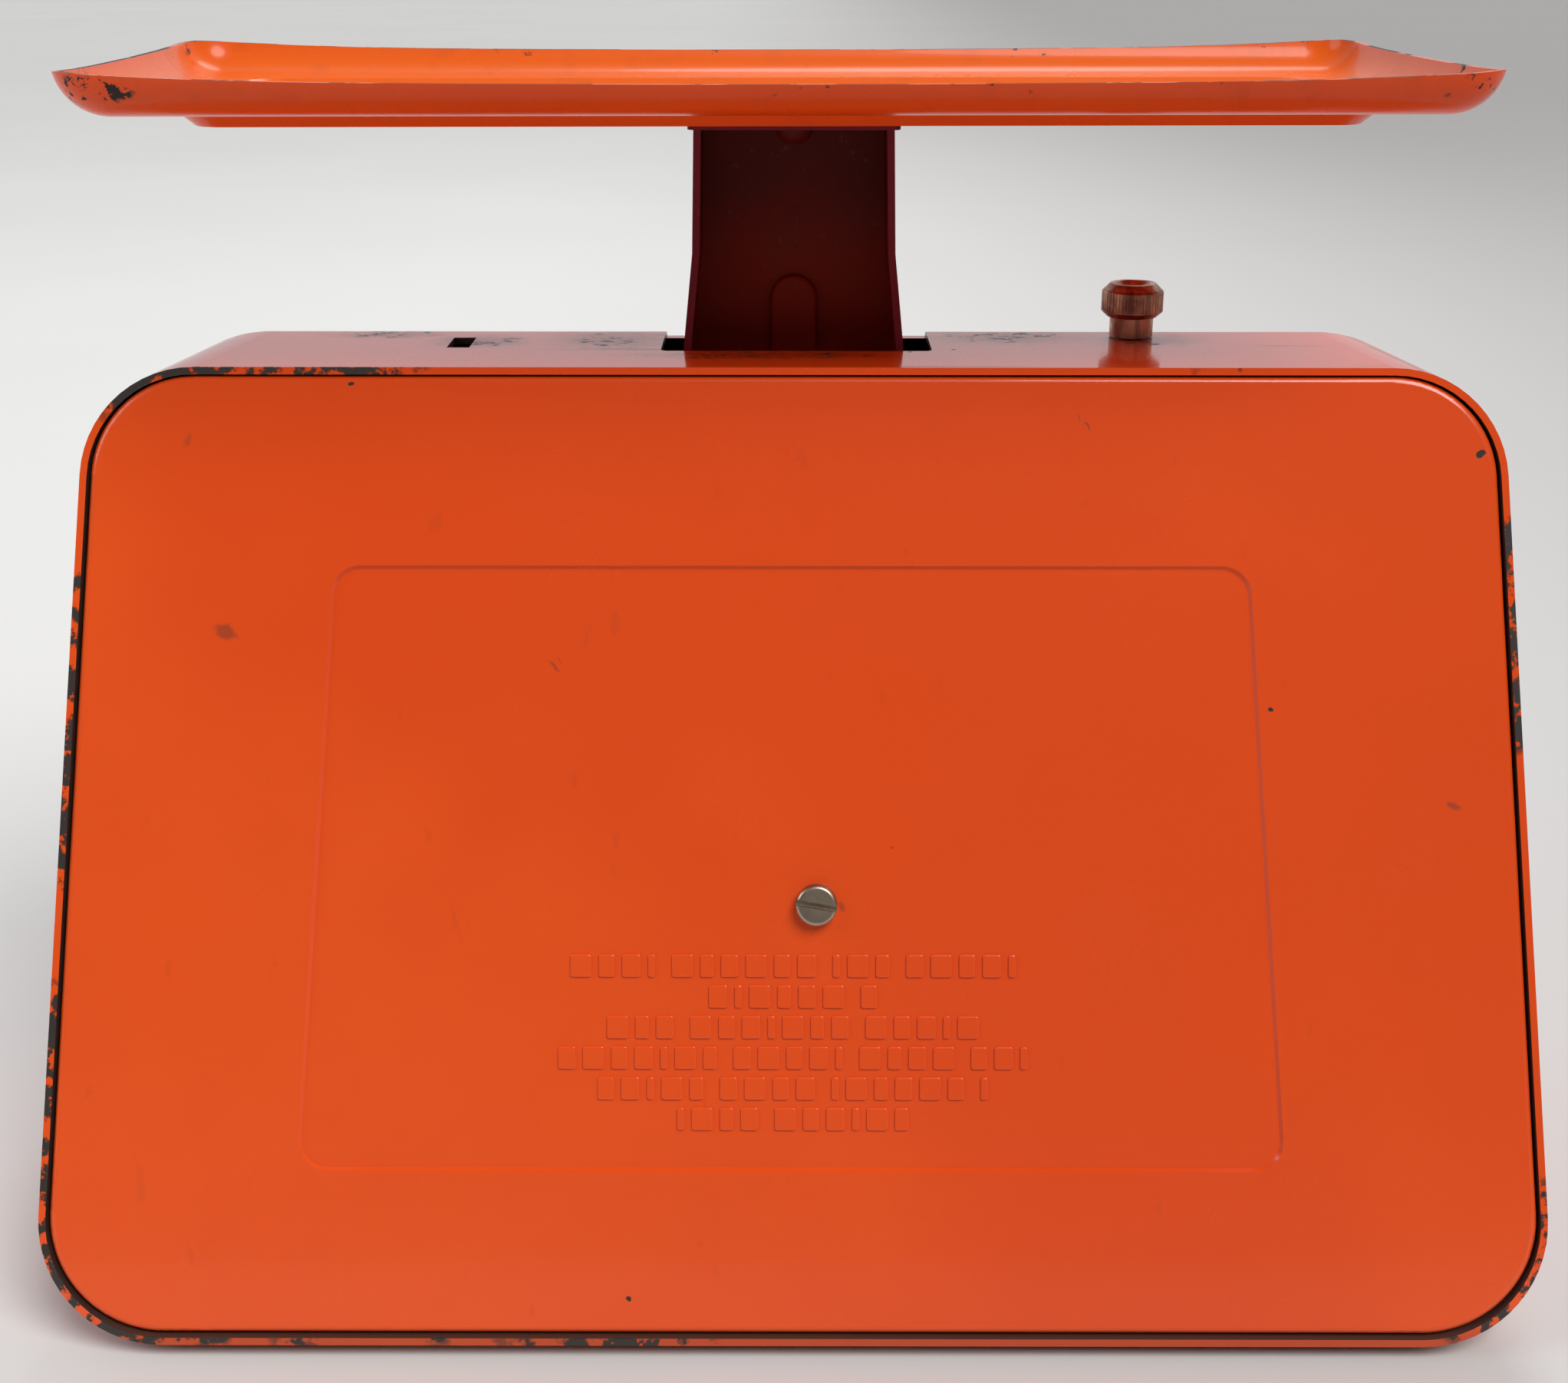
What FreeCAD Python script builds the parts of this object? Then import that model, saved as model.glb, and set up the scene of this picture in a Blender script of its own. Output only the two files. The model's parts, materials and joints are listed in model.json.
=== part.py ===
import FreeCAD, Part
import math
import os

# Mechanical kitchen scale with a leaning dial front, a leaning back cover and a
# pressed weighing tray on a channel stem.  Millimetres.  +Z is up and z = 0 is the
# underside of the feet.  The dial faces -Y and the back cover faces +Y.

# ---- casing ----
SHEET = 1.1
BASE_Z = 2.5
TOP_Z = 150.7
REAR_BASE_Y = 56.0
REAR_TOP_Y = 10.2
FRONT_BASE_Y = -56.0
FRONT_TOP_Y = -24.8
REAR_HALF_BASE = 121.4
REAR_HALF_TOP = 110.75
REAR_R_BASE = 19.5
REAR_R_TOP = 18.0
FRONT_HALF_BASE = 113.4
FRONT_HALF_TOP = 108.25
FRONT_R_BASE = 22.0
FRONT_R_TOP = 20.5
FRONT_BEND_R = 5.0

# ---- openings in the casing top ----
NOTCH_X = (-22.5, 21.6)
NOTCH_REAR_Y = -3.6
NOTCH_BOTTOM_Z = 149.5
SLOT_X = 54.9
SLOT_SIZE = (3.7, 8.9)
SLOT_Y0 = -15.2
KNOB_X = -56.6
KNOB_Y = -16.7

# ---- back cover ----
COVER_GAP = 0.3
COVER_SHEET = 1.0
COVER_INSET = 0.1
COVER_FLANGE = 7.0
COVER_EDGE_R = 1.2
RECESS_DEPTH = 0.55
RECESS_SIDE = 41.05
RECESS_X = 0.35
RECESS_S0 = 28.3
RECESS_S1 = 124.0
RECESS_R = 4.5
COVER_SCREW_X = -3.7
COVER_SCREW_S = 70.7
ROW_LENGTHS = (71.0, 28.0, 61.0, 75.0, 62.0, 40.0)
ROW_FIRST_S = 60.9
ROW_PITCH = 4.9
BLOCK_H = 3.7
BLOCK_RELIEF = 0.35
BLOCK_WIDTHS = (3.4, 2.6, 3.0, 1.2, 3.4, 2.2, 2.8)
BLOCK_GAP = 1.1
GROUP_GAP = 2.6
GROUP_COUNTS = (4, 6, 3, 7, 5)

# ---- dial side, measured along the front face from the base edge ----
WINDOW = (84.0, 80.0, 24.0, 110.0)
WINDOW_R = 12.0
DIAL_MARGIN = 5.0
BEZEL_W = 3.0
BEZEL_RISE = 0.8
LENS_T = (1.15, 2.65)
DIAL_T = (7.0, 7.6)
PIVOT_S = 42.0
NEEDLE_LENGTH = 57.0
NEEDLE_TAIL = 13.0
NEEDLE_REST = 75.0

# ---- stem and tray ----
STEM_SHEET = 1.2
STEM_WEB_Y = -18.5
STEM_REAR_Y = -5.5
STEM_BOTTOM_Z = 55.0
STEM_TOP_Z = 185.6
STEM_WIDTHS = ((STEM_BOTTOM_Z, 35.8), (151.0, 35.8), (166.0, 32.7), (STEM_TOP_Z, 31.8))
BEAD_W = 7.7
BEAD_RISE = 1.6
BEAD_TOP_Z = 161.0
PLATE_T = 2.5
TRAY_L = 205.0
TRAY_W = 88.0
TRAY_SHEET = 0.9
TRAY_Y = -7.5
TRAY_X = 2.45
TRAY_TWIST = 1.7
TRAY_FLOOR_Z = 190.4
TRAY_CORNER_R = 8.2
TRAY_ROUND_R = 7.6
TRAY_TIP_Z = 197.0
TRAY_LONG_DIP = 1.7
TRAY_SHORT_DIP = 0.8
WELL_L = 179.0
WELL_W = 60.0
WELL_STEP = 2.3

# ---- parallel levers ----
FRAME_PIN_X = 61.8
FRAME_PIN_Z = (112.0, 62.0)
STEM_PIN_Z = (117.0, 67.0)
PIN_R = 2.0
RUN_CLEAR = 0.05
PIVOT_CLEAR = 0.4
BAR_T = 1.4
FRONT_BAR_Y = -21.5
REAR_BAR_Y = -4.0
BAR_H = 8.0
EAR_T = 1.2
FRONT_EAR_Y = -23.4
REAR_EAR_Y = -1.5

# ---- zero adjuster and spring ----
SCREW_R = 2.0
KNOB_HEAD_R = 5.1
KNOB_NECK_R = 3.6
KNOB_Z0 = 150.95
KNOB_Z1 = 159.7
KNURLS = 52
HANGER_Z = (130.0, 136.0)
HANGER_PIN_Z = 115.0
SPRING_R = 4.8
WIRE_R = 0.7
COIL_Z = (79.0, 107.5)

# ---- rack and pinion ----
MODULE = 0.5
TEETH = 15
PITCH_R = MODULE * TEETH / 2.0
RACK_T = (14.8, 16.3)
PINION_T = (14.3, 19.0)
RACK_S = (PIVOT_S - 7.0, 86.0)

V = FreeCAD.Vector
X_AXIS = V(1, 0, 0)
Y_AXIS = V(0, 1, 0)
Z_AXIS = V(0, 0, 1)
FRONT_SLANT = V(0, FRONT_TOP_Y - FRONT_BASE_Y, TOP_Z - BASE_Z)
FRONT_LEN = FRONT_SLANT.Length
FRONT_UP = FRONT_SLANT / FRONT_LEN
FRONT_IN = V(0, FRONT_UP.z, -FRONT_UP.y)
REAR_SLANT = V(0, REAR_TOP_Y - REAR_BASE_Y, TOP_Z - BASE_Z)
REAR_LEN = REAR_SLANT.Length
REAR_UP = REAR_SLANT / REAR_LEN
REAR_IN = V(0, -REAR_UP.z, REAR_UP.y)


def front_point(x, s, t=0.0):
    """Point at width x and slant height s, t behind the front face."""
    return V(x, FRONT_BASE_Y, BASE_Z) + FRONT_UP * s + FRONT_IN * t


def rear_point(x, s, d=0.0):
    """Point at width x and slant height s, d inside the rear face."""
    return V(x, REAR_BASE_Y, BASE_Z) + REAR_UP * s + REAR_IN * d


def flat_point(x, y, z=0.0):
    return V(x, y, z)


def rounded_wire(corners, radii, place, depth):
    """Closed wire through the corners with an arc at each corner."""
    ends = []
    count = len(corners)
    for i in range(count):
        p = V(corners[i][0], corners[i][1], 0)
        a = V(corners[i - 1][0], corners[i - 1][1], 0) - p
        b = V(corners[(i + 1) % count][0], corners[(i + 1) % count][1], 0) - p
        a.normalize()
        b.normalize()
        half = a.getAngle(b) / 2.0
        reach = radii[i] / math.tan(half)
        centre_line = a + b
        centre_line.normalize()
        centre = p + centre_line * (radii[i] / math.sin(half))
        mid = centre - centre_line * radii[i]
        ends.append((p + a * reach, mid, p + b * reach))
    edges = []
    for i in range(count):
        first, mid, last = [place(q.x, q.y, depth) for q in ends[i]]
        following = ends[(i + 1) % count][0]
        edges.append(Part.Arc(first, mid, last).toShape())
        edges.append(Part.makeLine(last, place(following.x, following.y, depth)))
    return Part.Wire(edges)


def trapezoid(half_base, half_top, s0, s1, inset=0.0, low_inset=None, high_inset=None):
    """Corners of an upright trapezoid, its sides moved inward by inset."""
    slope = (half_top - half_base) / (s1 - s0)
    side = inset * math.sqrt(1.0 + slope * slope)
    a = inset if low_inset is None else low_inset
    b = inset if high_inset is None else high_inset
    low = half_base - side + slope * a
    high = half_top - side - slope * b
    return [(-low, s0 + a), (low, s0 + a), (high, s1 - b), (-high, s1 - b)]


def trapezoid_wire(size, radii, place, depth, inset=0.0):
    corners = trapezoid(size[0], size[1], size[2], size[3], inset)
    r = [max(q - inset, 0.3) for q in radii]
    return rounded_wire(corners, r, place, depth)


def plate(wire, direction, thickness):
    return Part.Face(wire).extrude(direction * thickness)


def box(x0, x1, y0, y1, z0, z1):
    return Part.makeBox(x1 - x0, y1 - y0, z1 - z0, V(x0, y0, z0))


def rod(radius, start, direction, length):
    return Part.makeCylinder(radius, length, start, direction)


def polygon_prism(points, direction, length):
    """Prism from a closed list of 3-D points."""
    wire = Part.makePolygon(points + [points[0]])
    return Part.Face(wire).extrude(direction * length)


def casing_outline(size, radii, up, place, inset, depth):
    """Casing outline at a depth, its top and bottom sides level with the walls' faces."""
    low_inset = (inset + depth * up.y) / up.z
    high_inset = (inset - depth * up.y) / up.z
    corners = trapezoid(size[0], size[1], 0.0, size[2], inset, low_inset, high_inset)
    r = [q - inset for q in radii]
    return rounded_wire(corners, r, place, depth)


def casing_form(inset, front_t):
    """Solid bounded by the casing walls moved inward by inset."""
    rear = casing_outline(
        (REAR_HALF_BASE, REAR_HALF_TOP, REAR_LEN),
        (REAR_R_BASE, REAR_R_BASE, REAR_R_TOP, REAR_R_TOP), REAR_UP, rear_point, inset, 0.0)
    front = casing_outline(
        (FRONT_HALF_BASE, FRONT_HALF_TOP, FRONT_LEN),
        (FRONT_R_BASE, FRONT_R_BASE, FRONT_R_TOP, FRONT_R_TOP), FRONT_UP, front_point, inset, front_t)
    return Part.makeLoft([rear, front], True, True)


def edges_near_plane(shape, origin, normal, tolerance=0.05):
    """Edges whose ends and middle all lie on the given plane."""
    found = []
    for edge in shape.Edges:
        a, b = edge.ParameterRange
        points = [edge.valueAt(a), edge.valueAt((a + b) / 2.0), edge.valueAt(b)]
        if all(abs((p - origin).dot(normal)) < tolerance for p in points):
            found.append(edge)
    return found


def rear_slab(d0, d1):
    """Everything between two depths inside the rear face."""
    size = (200.0, 200.0, -60.0, 220.0)
    wire = trapezoid_wire(size, (1.0, 1.0, 1.0, 1.0), rear_point, d0)
    return plate(wire, REAR_IN, d1 - d0)


def window_wire(depth, grow):
    r = WINDOW_R + grow
    return trapezoid_wire(WINDOW, (WINDOW_R, WINDOW_R, WINDOW_R, WINDOW_R), front_point, depth, -grow)


FOOT_POSITIONS = ((-84.0, -36.0), (84.0, -36.0), (-90.0, 38.0), (90.0, 38.0))
BASE_RIVETS = ((-64.0, -40.0), (66.0, -40.0), (-64.0, 28.0), (66.0, 28.0))
BASE_TOP_Z = BASE_Z + SHEET + 1.5


def make_casing():
    outer = casing_form(0.0, 0.0)
    bend = edges_near_plane(outer, front_point(0, 0), FRONT_IN)
    outer = outer.makeFillet(FRONT_BEND_R, bend)
    inner = casing_form(SHEET, SHEET)
    bend = edges_near_plane(inner, front_point(0, 0, SHEET), FRONT_IN)
    inner = inner.makeFillet(FRONT_BEND_R - SHEET, bend)
    shell = outer.cut(inner)
    notch = box(*NOTCH_X, -70.0, NOTCH_REAR_Y, NOTCH_BOTTOM_Z, TOP_Z + 5)
    rear_corners = []
    for edge in notch.Edges:
        c = edge.CenterOfMass
        upright = abs(edge.tangentAt(edge.FirstParameter).z) > 0.9
        if upright and abs(c.y - NOTCH_REAR_Y) < 0.01:
            rear_corners.append(edge)
    notch = notch.makeFillet(1.2, rear_corners)
    shell = shell.cut(notch)
    slot = box(SLOT_X - SLOT_SIZE[0] / 2, SLOT_X + SLOT_SIZE[0] / 2,
               SLOT_Y0, SLOT_Y0 + SLOT_SIZE[1], TOP_Z - 5, TOP_Z + 5)
    shell = shell.cut(slot)
    shell = shell.cut(rod(SCREW_R + 0.4, V(KNOB_X, KNOB_Y, TOP_Z - 5), Z_AXIS, 10))
    shell = shell.cut(plate(window_wire(-3.0, 0.0), FRONT_IN, 8.0))
    for x, y in FOOT_POSITIONS:
        shell = shell.cut(rod(2.5, V(x, y, 0), Z_AXIS, 5))
    for x, y in BASE_RIVETS:
        shell = shell.cut(rod(1.5, V(x, y, 0), Z_AXIS, 5))
    return shell


def recess_wire(depth, grow):
    slope = (REAR_HALF_TOP - REAR_HALF_BASE) / REAR_LEN
    low = REAR_HALF_BASE + slope * RECESS_S0 - RECESS_SIDE
    high = REAR_HALF_BASE + slope * RECESS_S1 - RECESS_SIDE
    corners = trapezoid(low, high, RECESS_S0, RECESS_S1, -grow)
    corners = [(x + RECESS_X, s) for x, s in corners]
    return rounded_wire(corners, [RECESS_R + grow] * 4, rear_point, depth)


def make_back_cover():
    whole = casing_form(SHEET + COVER_GAP, SHEET + COVER_GAP)
    outer = whole.common(rear_slab(COVER_INSET, COVER_FLANGE))
    rim = edges_near_plane(outer, rear_point(0, 0, COVER_INSET), REAR_IN)
    outer = outer.makeFillet(COVER_EDGE_R, rim)
    core = casing_form(SHEET + COVER_GAP + COVER_SHEET, SHEET + COVER_GAP + COVER_SHEET)
    core = core.common(rear_slab(COVER_INSET + COVER_SHEET, COVER_FLANGE + 2.0))
    cover = outer.cut(core)
    d = COVER_INSET
    backing = Part.makeLoft([recess_wire(d + COVER_SHEET - 0.2, 1.1),
                             recess_wire(d + COVER_SHEET + RECESS_DEPTH, 0.5)], True, True)
    cover = cover.fuse(backing)
    recess = Part.makeLoft([recess_wire(d - 0.4, 0.5), recess_wire(d + RECESS_DEPTH, -0.3)], True, True)
    cover = cover.cut(recess)
    floor_d = d + RECESS_DEPTH
    blocks = []
    for row, length in enumerate(ROW_LENGTHS):
        blocks += make_row(length, ROW_FIRST_S - row * ROW_PITCH, row, floor_d)
    cover = cover.multiFuse(blocks)
    hole = rod(2.1, rear_point(COVER_SCREW_X, COVER_SCREW_S, -3), REAR_IN, 10)
    return cover.cut(hole)


def make_row(length, s, row, floor_d):
    """One row of plain embossed blocks in groups, as long as length."""
    spans = []
    x = 0.0
    count = 0
    group = row
    while x < length - 1.0:
        width = min(BLOCK_WIDTHS[(len(spans) + 2 * row) % len(BLOCK_WIDTHS)], length - x)
        spans.append((x, width))
        x += width + BLOCK_GAP
        count += 1
        if count == GROUP_COUNTS[group % len(GROUP_COUNTS)]:
            x += GROUP_GAP - BLOCK_GAP
            count = 0
            group += 1
    total = spans[-1][0] + spans[-1][1]
    return [make_block(total / 2.0 - x0 - w, w, s, floor_d) for x0, w in spans]


def make_block(x, width, s, floor_d):
    """Low pressed block with rounded corners and a softened top."""
    h = BLOCK_H / 2.0
    corners = [(x, s - h), (x + width, s - h), (x + width, s + h), (x, s + h)]
    wire = rounded_wire(corners, [0.45] * 4, rear_point, floor_d + 0.2)
    block = Part.Face(wire).extrude(REAR_IN * -(BLOCK_RELIEF + 0.2))
    crown = edges_near_plane(block, rear_point(0, 0, floor_d - BLOCK_RELIEF), REAR_IN)
    return block.makeFillet(0.25, crown)


def slotted_screw(centre, outward, head_r, head_h, shank_r, shank_len, slot_dir):
    """Cheese-head screw: outward points from the seat to the head's top."""
    head = Part.makeCylinder(head_r, head_h, centre, outward)
    top = edges_near_plane(head, centre + outward * head_h, outward)
    head = head.makeFillet(head_h * 0.3, top)
    shank = Part.makeCylinder(shank_r, shank_len, centre, outward * -1)
    across = outward.cross(slot_dir)
    corner = centre + outward * (head_h * 0.5) - slot_dir * (head_r + 1) - across * 0.45
    points = [corner, corner + slot_dir * (2 * head_r + 2),
              corner + slot_dir * (2 * head_r + 2) + across * 0.9, corner + across * 0.9]
    groove = polygon_prism(points, outward, head_h)
    return head.fuse(shank).cut(groove)


def make_cover_screw():
    seat = rear_point(COVER_SCREW_X, COVER_SCREW_S, COVER_INSET + RECESS_DEPTH)
    tilt = math.radians(10.0)
    slot = V(math.cos(tilt), 0, 0) + REAR_UP * math.sin(tilt)
    slot.normalize()
    return slotted_screw(seat, REAR_IN * -1, 3.3, 2.2, 1.95, 9.0, slot)


BRACKET_D = (COVER_INSET + COVER_SHEET + RECESS_DEPTH, COVER_INSET + COVER_SHEET + RECESS_DEPTH + 1.2)


def make_screw_bracket():
    """Leaning strip behind the cover with a foot on the chassis base."""
    x0 = COVER_SCREW_X - 9.0
    x1 = COVER_SCREW_X + 9.0
    corners = [(x0, 6.5), (x1, 6.5), (x1, 80.0), (x0, 80.0)]
    strip = plate(rounded_wire(corners, [0.5, 0.5, 5.0, 5.0], rear_point, BRACKET_D[0]), REAR_IN, 1.2)
    foot_y1 = rear_point(0, 6.5, BRACKET_D[0]).y
    foot = box(x0, x1, 16.0, foot_y1, BASE_TOP_Z, BASE_TOP_Z + 1.2)
    low = rear_point(0, 6.5, BRACKET_D[0])
    joint = polygon_prism([V(x0, low.y, BASE_TOP_Z), V(x0, low.y, low.z + 0.5),
                           V(x0, low.y - 1.8, low.z + 1.5), V(x0, low.y - 3.0, BASE_TOP_Z)], X_AXIS, x1 - x0)
    bracket = strip.fuse(foot).fuse(joint)
    lean = rear_slab(-5.0, BRACKET_D[0])
    bracket = bracket.cut(lean)
    hole = rod(2.1, rear_point(COVER_SCREW_X, COVER_SCREW_S, -3), REAR_IN, 12)
    return bracket.cut(hole).removeSplitter()


def make_weld_nut():
    """Hexagon nut welded behind the strip."""
    centre = rear_point(COVER_SCREW_X, COVER_SCREW_S, BRACKET_D[1])
    points = []
    for i in range(6):
        a = math.radians(60 * i)
        points.append(centre + X_AXIS * (4.0 * math.cos(a)) + REAR_UP * (4.0 * math.sin(a)))
    nut = polygon_prism(points, REAR_IN, 3.2)
    return nut.cut(rod(1.95, centre - REAR_IN, REAR_IN, 6))


def make_chassis_base():
    corners = [(-74, -46), (76, -46), (76, 36), (-74, 36)]
    base = plate(rounded_wire(corners, [4.0] * 4, flat_point, BASE_Z + SHEET), Z_AXIS, 1.5)
    for x, y in BASE_RIVETS:
        base = base.cut(rod(1.5, V(x, y, 0), Z_AXIS, 8))
    return base


def make_base_rivets():
    rivets = []
    for x, y in BASE_RIVETS:
        low = Part.makeCone(2.0, 3.0, 1.0, V(x, y, BASE_Z - 1.0), Z_AXIS)
        shank = rod(1.5, V(x, y, BASE_Z), Z_AXIS, BASE_TOP_Z - BASE_Z)
        high = Part.makeCone(2.8, 2.0, 0.9, V(x, y, BASE_TOP_Z), Z_AXIS)
        rivets.append(low.fuse(shank).fuse(high))
    return Part.makeCompound(rivets)


def make_foot(x, y):
    pad = Part.makeCone(6.2, 7.0, BASE_Z, V(x, y, 0), Z_AXIS)
    sole = edges_near_plane(pad, V(0, 0, 0), Z_AXIS)
    pad = pad.makeFillet(0.6, sole)
    plug = rod(2.5, V(x, y, BASE_Z), Z_AXIS, SHEET)
    bulb = Part.makeCone(3.3, 2.2, 2.4, V(x, y, BASE_Z + SHEET), Z_AXIS)
    return pad.fuse(plug).fuse(bulb)


def make_upright():
    """Folded channel that carries the two frame pins."""
    z0 = BASE_TOP_Z
    z1 = FRAME_PIN_Z[0] + 4.5
    x0 = 53.5
    x1 = 70.0
    front = box(x0, x1, FRONT_EAR_Y, FRONT_EAR_Y + EAR_T, z0, z1)
    rear = box(x0, x1, REAR_EAR_Y, REAR_EAR_Y + EAR_T, z0, z1)
    web = box(x1 - EAR_T, x1, FRONT_EAR_Y, REAR_EAR_Y + EAR_T, z0, z1)
    foot = box(x0, 75.0, FRONT_EAR_Y, REAR_EAR_Y + EAR_T, z0, z0 + EAR_T)
    upright = front.fuse(rear).fuse(web).fuse(foot)
    for z in FRAME_PIN_Z:
        upright = upright.cut(rod(PIN_R + RUN_CLEAR, V(FRAME_PIN_X, -30, z), Y_AXIS, 40))
    for y in (-18.0, -6.0):
        upright = upright.cut(rod(1.3, V(60.0, y, z0 - 2), Z_AXIS, 5))
    return upright.removeSplitter()


def make_upright_screws():
    screws = []
    for y in (-18.0, -6.0):
        screws.append(slotted_screw(V(60.0, y, BASE_TOP_Z + EAR_T), Z_AXIS, 2.4, 1.6, 1.3, EAR_T, X_AXIS))
    return Part.makeCompound(screws)


def headed_pin(x, z, y_seat, y_end, radius, head_r):
    """Pin along Y with its head in front of y_seat."""
    head = Part.makeCylinder(head_r, 1.0, V(x, y_seat - 1.0, z), Y_AXIS)
    shank = Part.makeCylinder(radius, y_end - y_seat, V(x, y_seat, z), Y_AXIS)
    return head.fuse(shank)


def open_clip(x, y, z, radius, grip_r, thickness=0.8):
    """Sprung retaining clip: a ring with a slot at its foot."""
    ring = rod(radius, V(x, y, z), Y_AXIS, thickness)
    ring = ring.cut(rod(grip_r, V(x, y - 1, z), Y_AXIS, thickness + 2))
    return ring.cut(box(x - 0.8, x + 0.8, y - 1, y + thickness + 1, z - radius - 1, z))


def make_frame_pin(z):
    return headed_pin(FRAME_PIN_X, z, FRONT_EAR_Y, REAR_EAR_Y + EAR_T + 1.4, PIN_R, 3.0)


def make_frame_clips():
    y = REAR_EAR_Y + EAR_T
    return Part.makeCompound([open_clip(FRAME_PIN_X, y, z, 3.6, PIN_R) for z in FRAME_PIN_Z])


def lever_bar(y, x_end, z_a, z_b):
    """Flat bar with round ends from the frame pin to x_end."""
    slope = (z_b - z_a) / (0.0 - FRAME_PIN_X)
    z_end = z_a + slope * (x_end - FRAME_PIN_X)
    a = V(FRAME_PIN_X, y, z_a)
    b = V(x_end, y, z_end)
    along = b - a
    length = along.Length
    along.normalize()
    up = Y_AXIS.cross(along)
    h = BAR_H / 2.0
    bar = polygon_prism([a + up * h, b + up * h, b - up * h, a - up * h], Y_AXIS, BAR_T)
    bar = bar.fuse(rod(h, a, Y_AXIS, BAR_T)).fuse(rod(h, b, Y_AXIS, BAR_T))
    return bar.removeSplitter()


def lever_bridge(x0, x1, z_a, z_b):
    """Cross strip that joins the lower edges of the two bars."""
    slope = (z_b - z_a) / (0.0 - FRAME_PIN_X)
    h = BAR_H / 2.0
    points = []
    for x, lift in ((x0, 0.0), (x1, 0.0), (x1, BAR_T), (x0, BAR_T)):
        z = z_a + slope * (x - FRAME_PIN_X) - h + lift
        points.append(V(x, FRONT_BAR_Y, z))
    return polygon_prism(points, Y_AXIS, REAR_BAR_Y + BAR_T - FRONT_BAR_Y)


def make_lever(index, x_end, bridges):
    z_a = FRAME_PIN_Z[index]
    z_b = STEM_PIN_Z[index]
    lever = lever_bar(FRONT_BAR_Y, x_end, z_a, z_b).fuse(lever_bar(REAR_BAR_Y, x_end, z_a, z_b))
    for x0, x1 in bridges:
        lever = lever.fuse(lever_bridge(x0, x1, z_a, z_b))
    lever = lever.cut(rod(PIN_R + RUN_CLEAR, V(FRAME_PIN_X, -30, z_a), Y_AXIS, 40))
    lever = lever.cut(rod(PIN_R + 0.02, V(0, -30, z_b), Y_AXIS, 40))
    if x_end < 0:
        lever = lever.cut(rod(1.5, V(x_end, -30, spring_pin_z()), Y_AXIS, 40))
    return lever.removeSplitter()


def spring_pin_z():
    slope = (STEM_PIN_Z[1] - FRAME_PIN_Z[1]) / (0.0 - FRAME_PIN_X)
    return FRAME_PIN_Z[1] + slope * (KNOB_X - FRAME_PIN_X)


def make_sleeve(index):
    """Spacer tube brazed between the bars around the frame pin."""
    y0 = FRONT_BAR_Y + BAR_T
    start = V(FRAME_PIN_X, y0, FRAME_PIN_Z[index])
    tube = rod(3.4, start, Y_AXIS, REAR_BAR_Y - y0)
    return tube.cut(rod(PIN_R + RUN_CLEAR, start - Y_AXIS, Y_AXIS, 30))


def make_stem_pin(index):
    return headed_pin(0.0, STEM_PIN_Z[index], FRONT_BAR_Y, REAR_BAR_Y + BAR_T + 1.2, PIN_R, 3.0)


def make_stem_pin_clip(index):
    return open_clip(0.0, REAR_BAR_Y + BAR_T, STEM_PIN_Z[index], 3.4, PIN_R)


def make_spring_pin():
    """Cross pin with a waist that keeps the spring's eye central."""
    z = spring_pin_z()
    pin = headed_pin(KNOB_X, z, FRONT_BAR_Y, REAR_BAR_Y + BAR_T + 0.8, 1.5, 2.4)
    waist = rod(3.0, V(KNOB_X, KNOB_Y - 1.2, z), Y_AXIS, 2.4)
    waist = waist.cut(rod(1.1, V(KNOB_X, KNOB_Y - 2.2, z), Y_AXIS, 4.4))
    return pin.cut(waist)


def stem_section(width, z, front_y, rear_y):
    w = width / 2.0
    return Part.makePolygon([V(-w, front_y, z), V(w, front_y, z), V(w, rear_y, z),
                             V(-w, rear_y, z), V(-w, front_y, z)])


def make_stem():
    """Folded channel, web to the front and open to the rear."""
    outer = Part.makeLoft([stem_section(w, z, STEM_WEB_Y, STEM_REAR_Y) for z, w in STEM_WIDTHS], True, True)
    folds = []
    for edge in outer.Edges:
        rising = abs(edge.tangentAt(edge.FirstParameter).z) > 0.8
        if rising and abs(edge.CenterOfMass.y - STEM_WEB_Y) < 0.01:
            folds.append(edge)
    outer = outer.makeFillet(1.8, folds)
    clear = 2.0 * STEM_SHEET
    sections = []
    for z, w in STEM_WIDTHS:
        sections.append(stem_section(w - clear, z, STEM_WEB_Y + STEM_SHEET, STEM_REAR_Y + 3.0))
    inner = Part.makeLoft(sections, True, True)
    stem = outer.cut(inner)
    stem = stem.fuse(bead_form(0.0, STEM_WEB_Y + STEM_SHEET - 0.3, BEAD_RISE + 0.3))
    stem = stem.cut(bead_form(1.1, STEM_WEB_Y - 1.0, BEAD_RISE + 1.0))
    for z in STEM_PIN_Z:
        stem = stem.cut(rod(PIN_R + PIVOT_CLEAR, V(0, -25, z), Y_AXIS, 12))
    for z in CARRIER_RIVETS:
        stem = stem.cut(rod(1.4, V(-25, CARRIER_RIVET_Y, z), X_AXIS, 50))
    for z in RACK_RIVETS:
        stem = stem.cut(rod(1.2, V(RACK_MID_X, -25, z), Y_AXIS, 12))
    return stem.removeSplitter()


def bead_form(inset, y0, rise):
    """Arch-topped stiffening bead, running down the middle of the web."""
    w = BEAD_W / 2.0 - inset
    z0 = 128.0 + inset
    arch_z = BEAD_TOP_Z - BEAD_W / 2.0
    body = box(-w, w, y0, y0 + rise, z0, arch_z)
    top = Part.makeCylinder(w, rise, V(0, y0, arch_z), Y_AXIS)
    foot = Part.makeCylinder(w, rise, V(0, y0, z0), Y_AXIS)
    form = body.fuse(top).fuse(foot).removeSplitter()
    crown = edges_near_plane(form, V(0, y0 + rise, 0), Y_AXIS)
    return form.makeFillet(0.7, crown)


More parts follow.
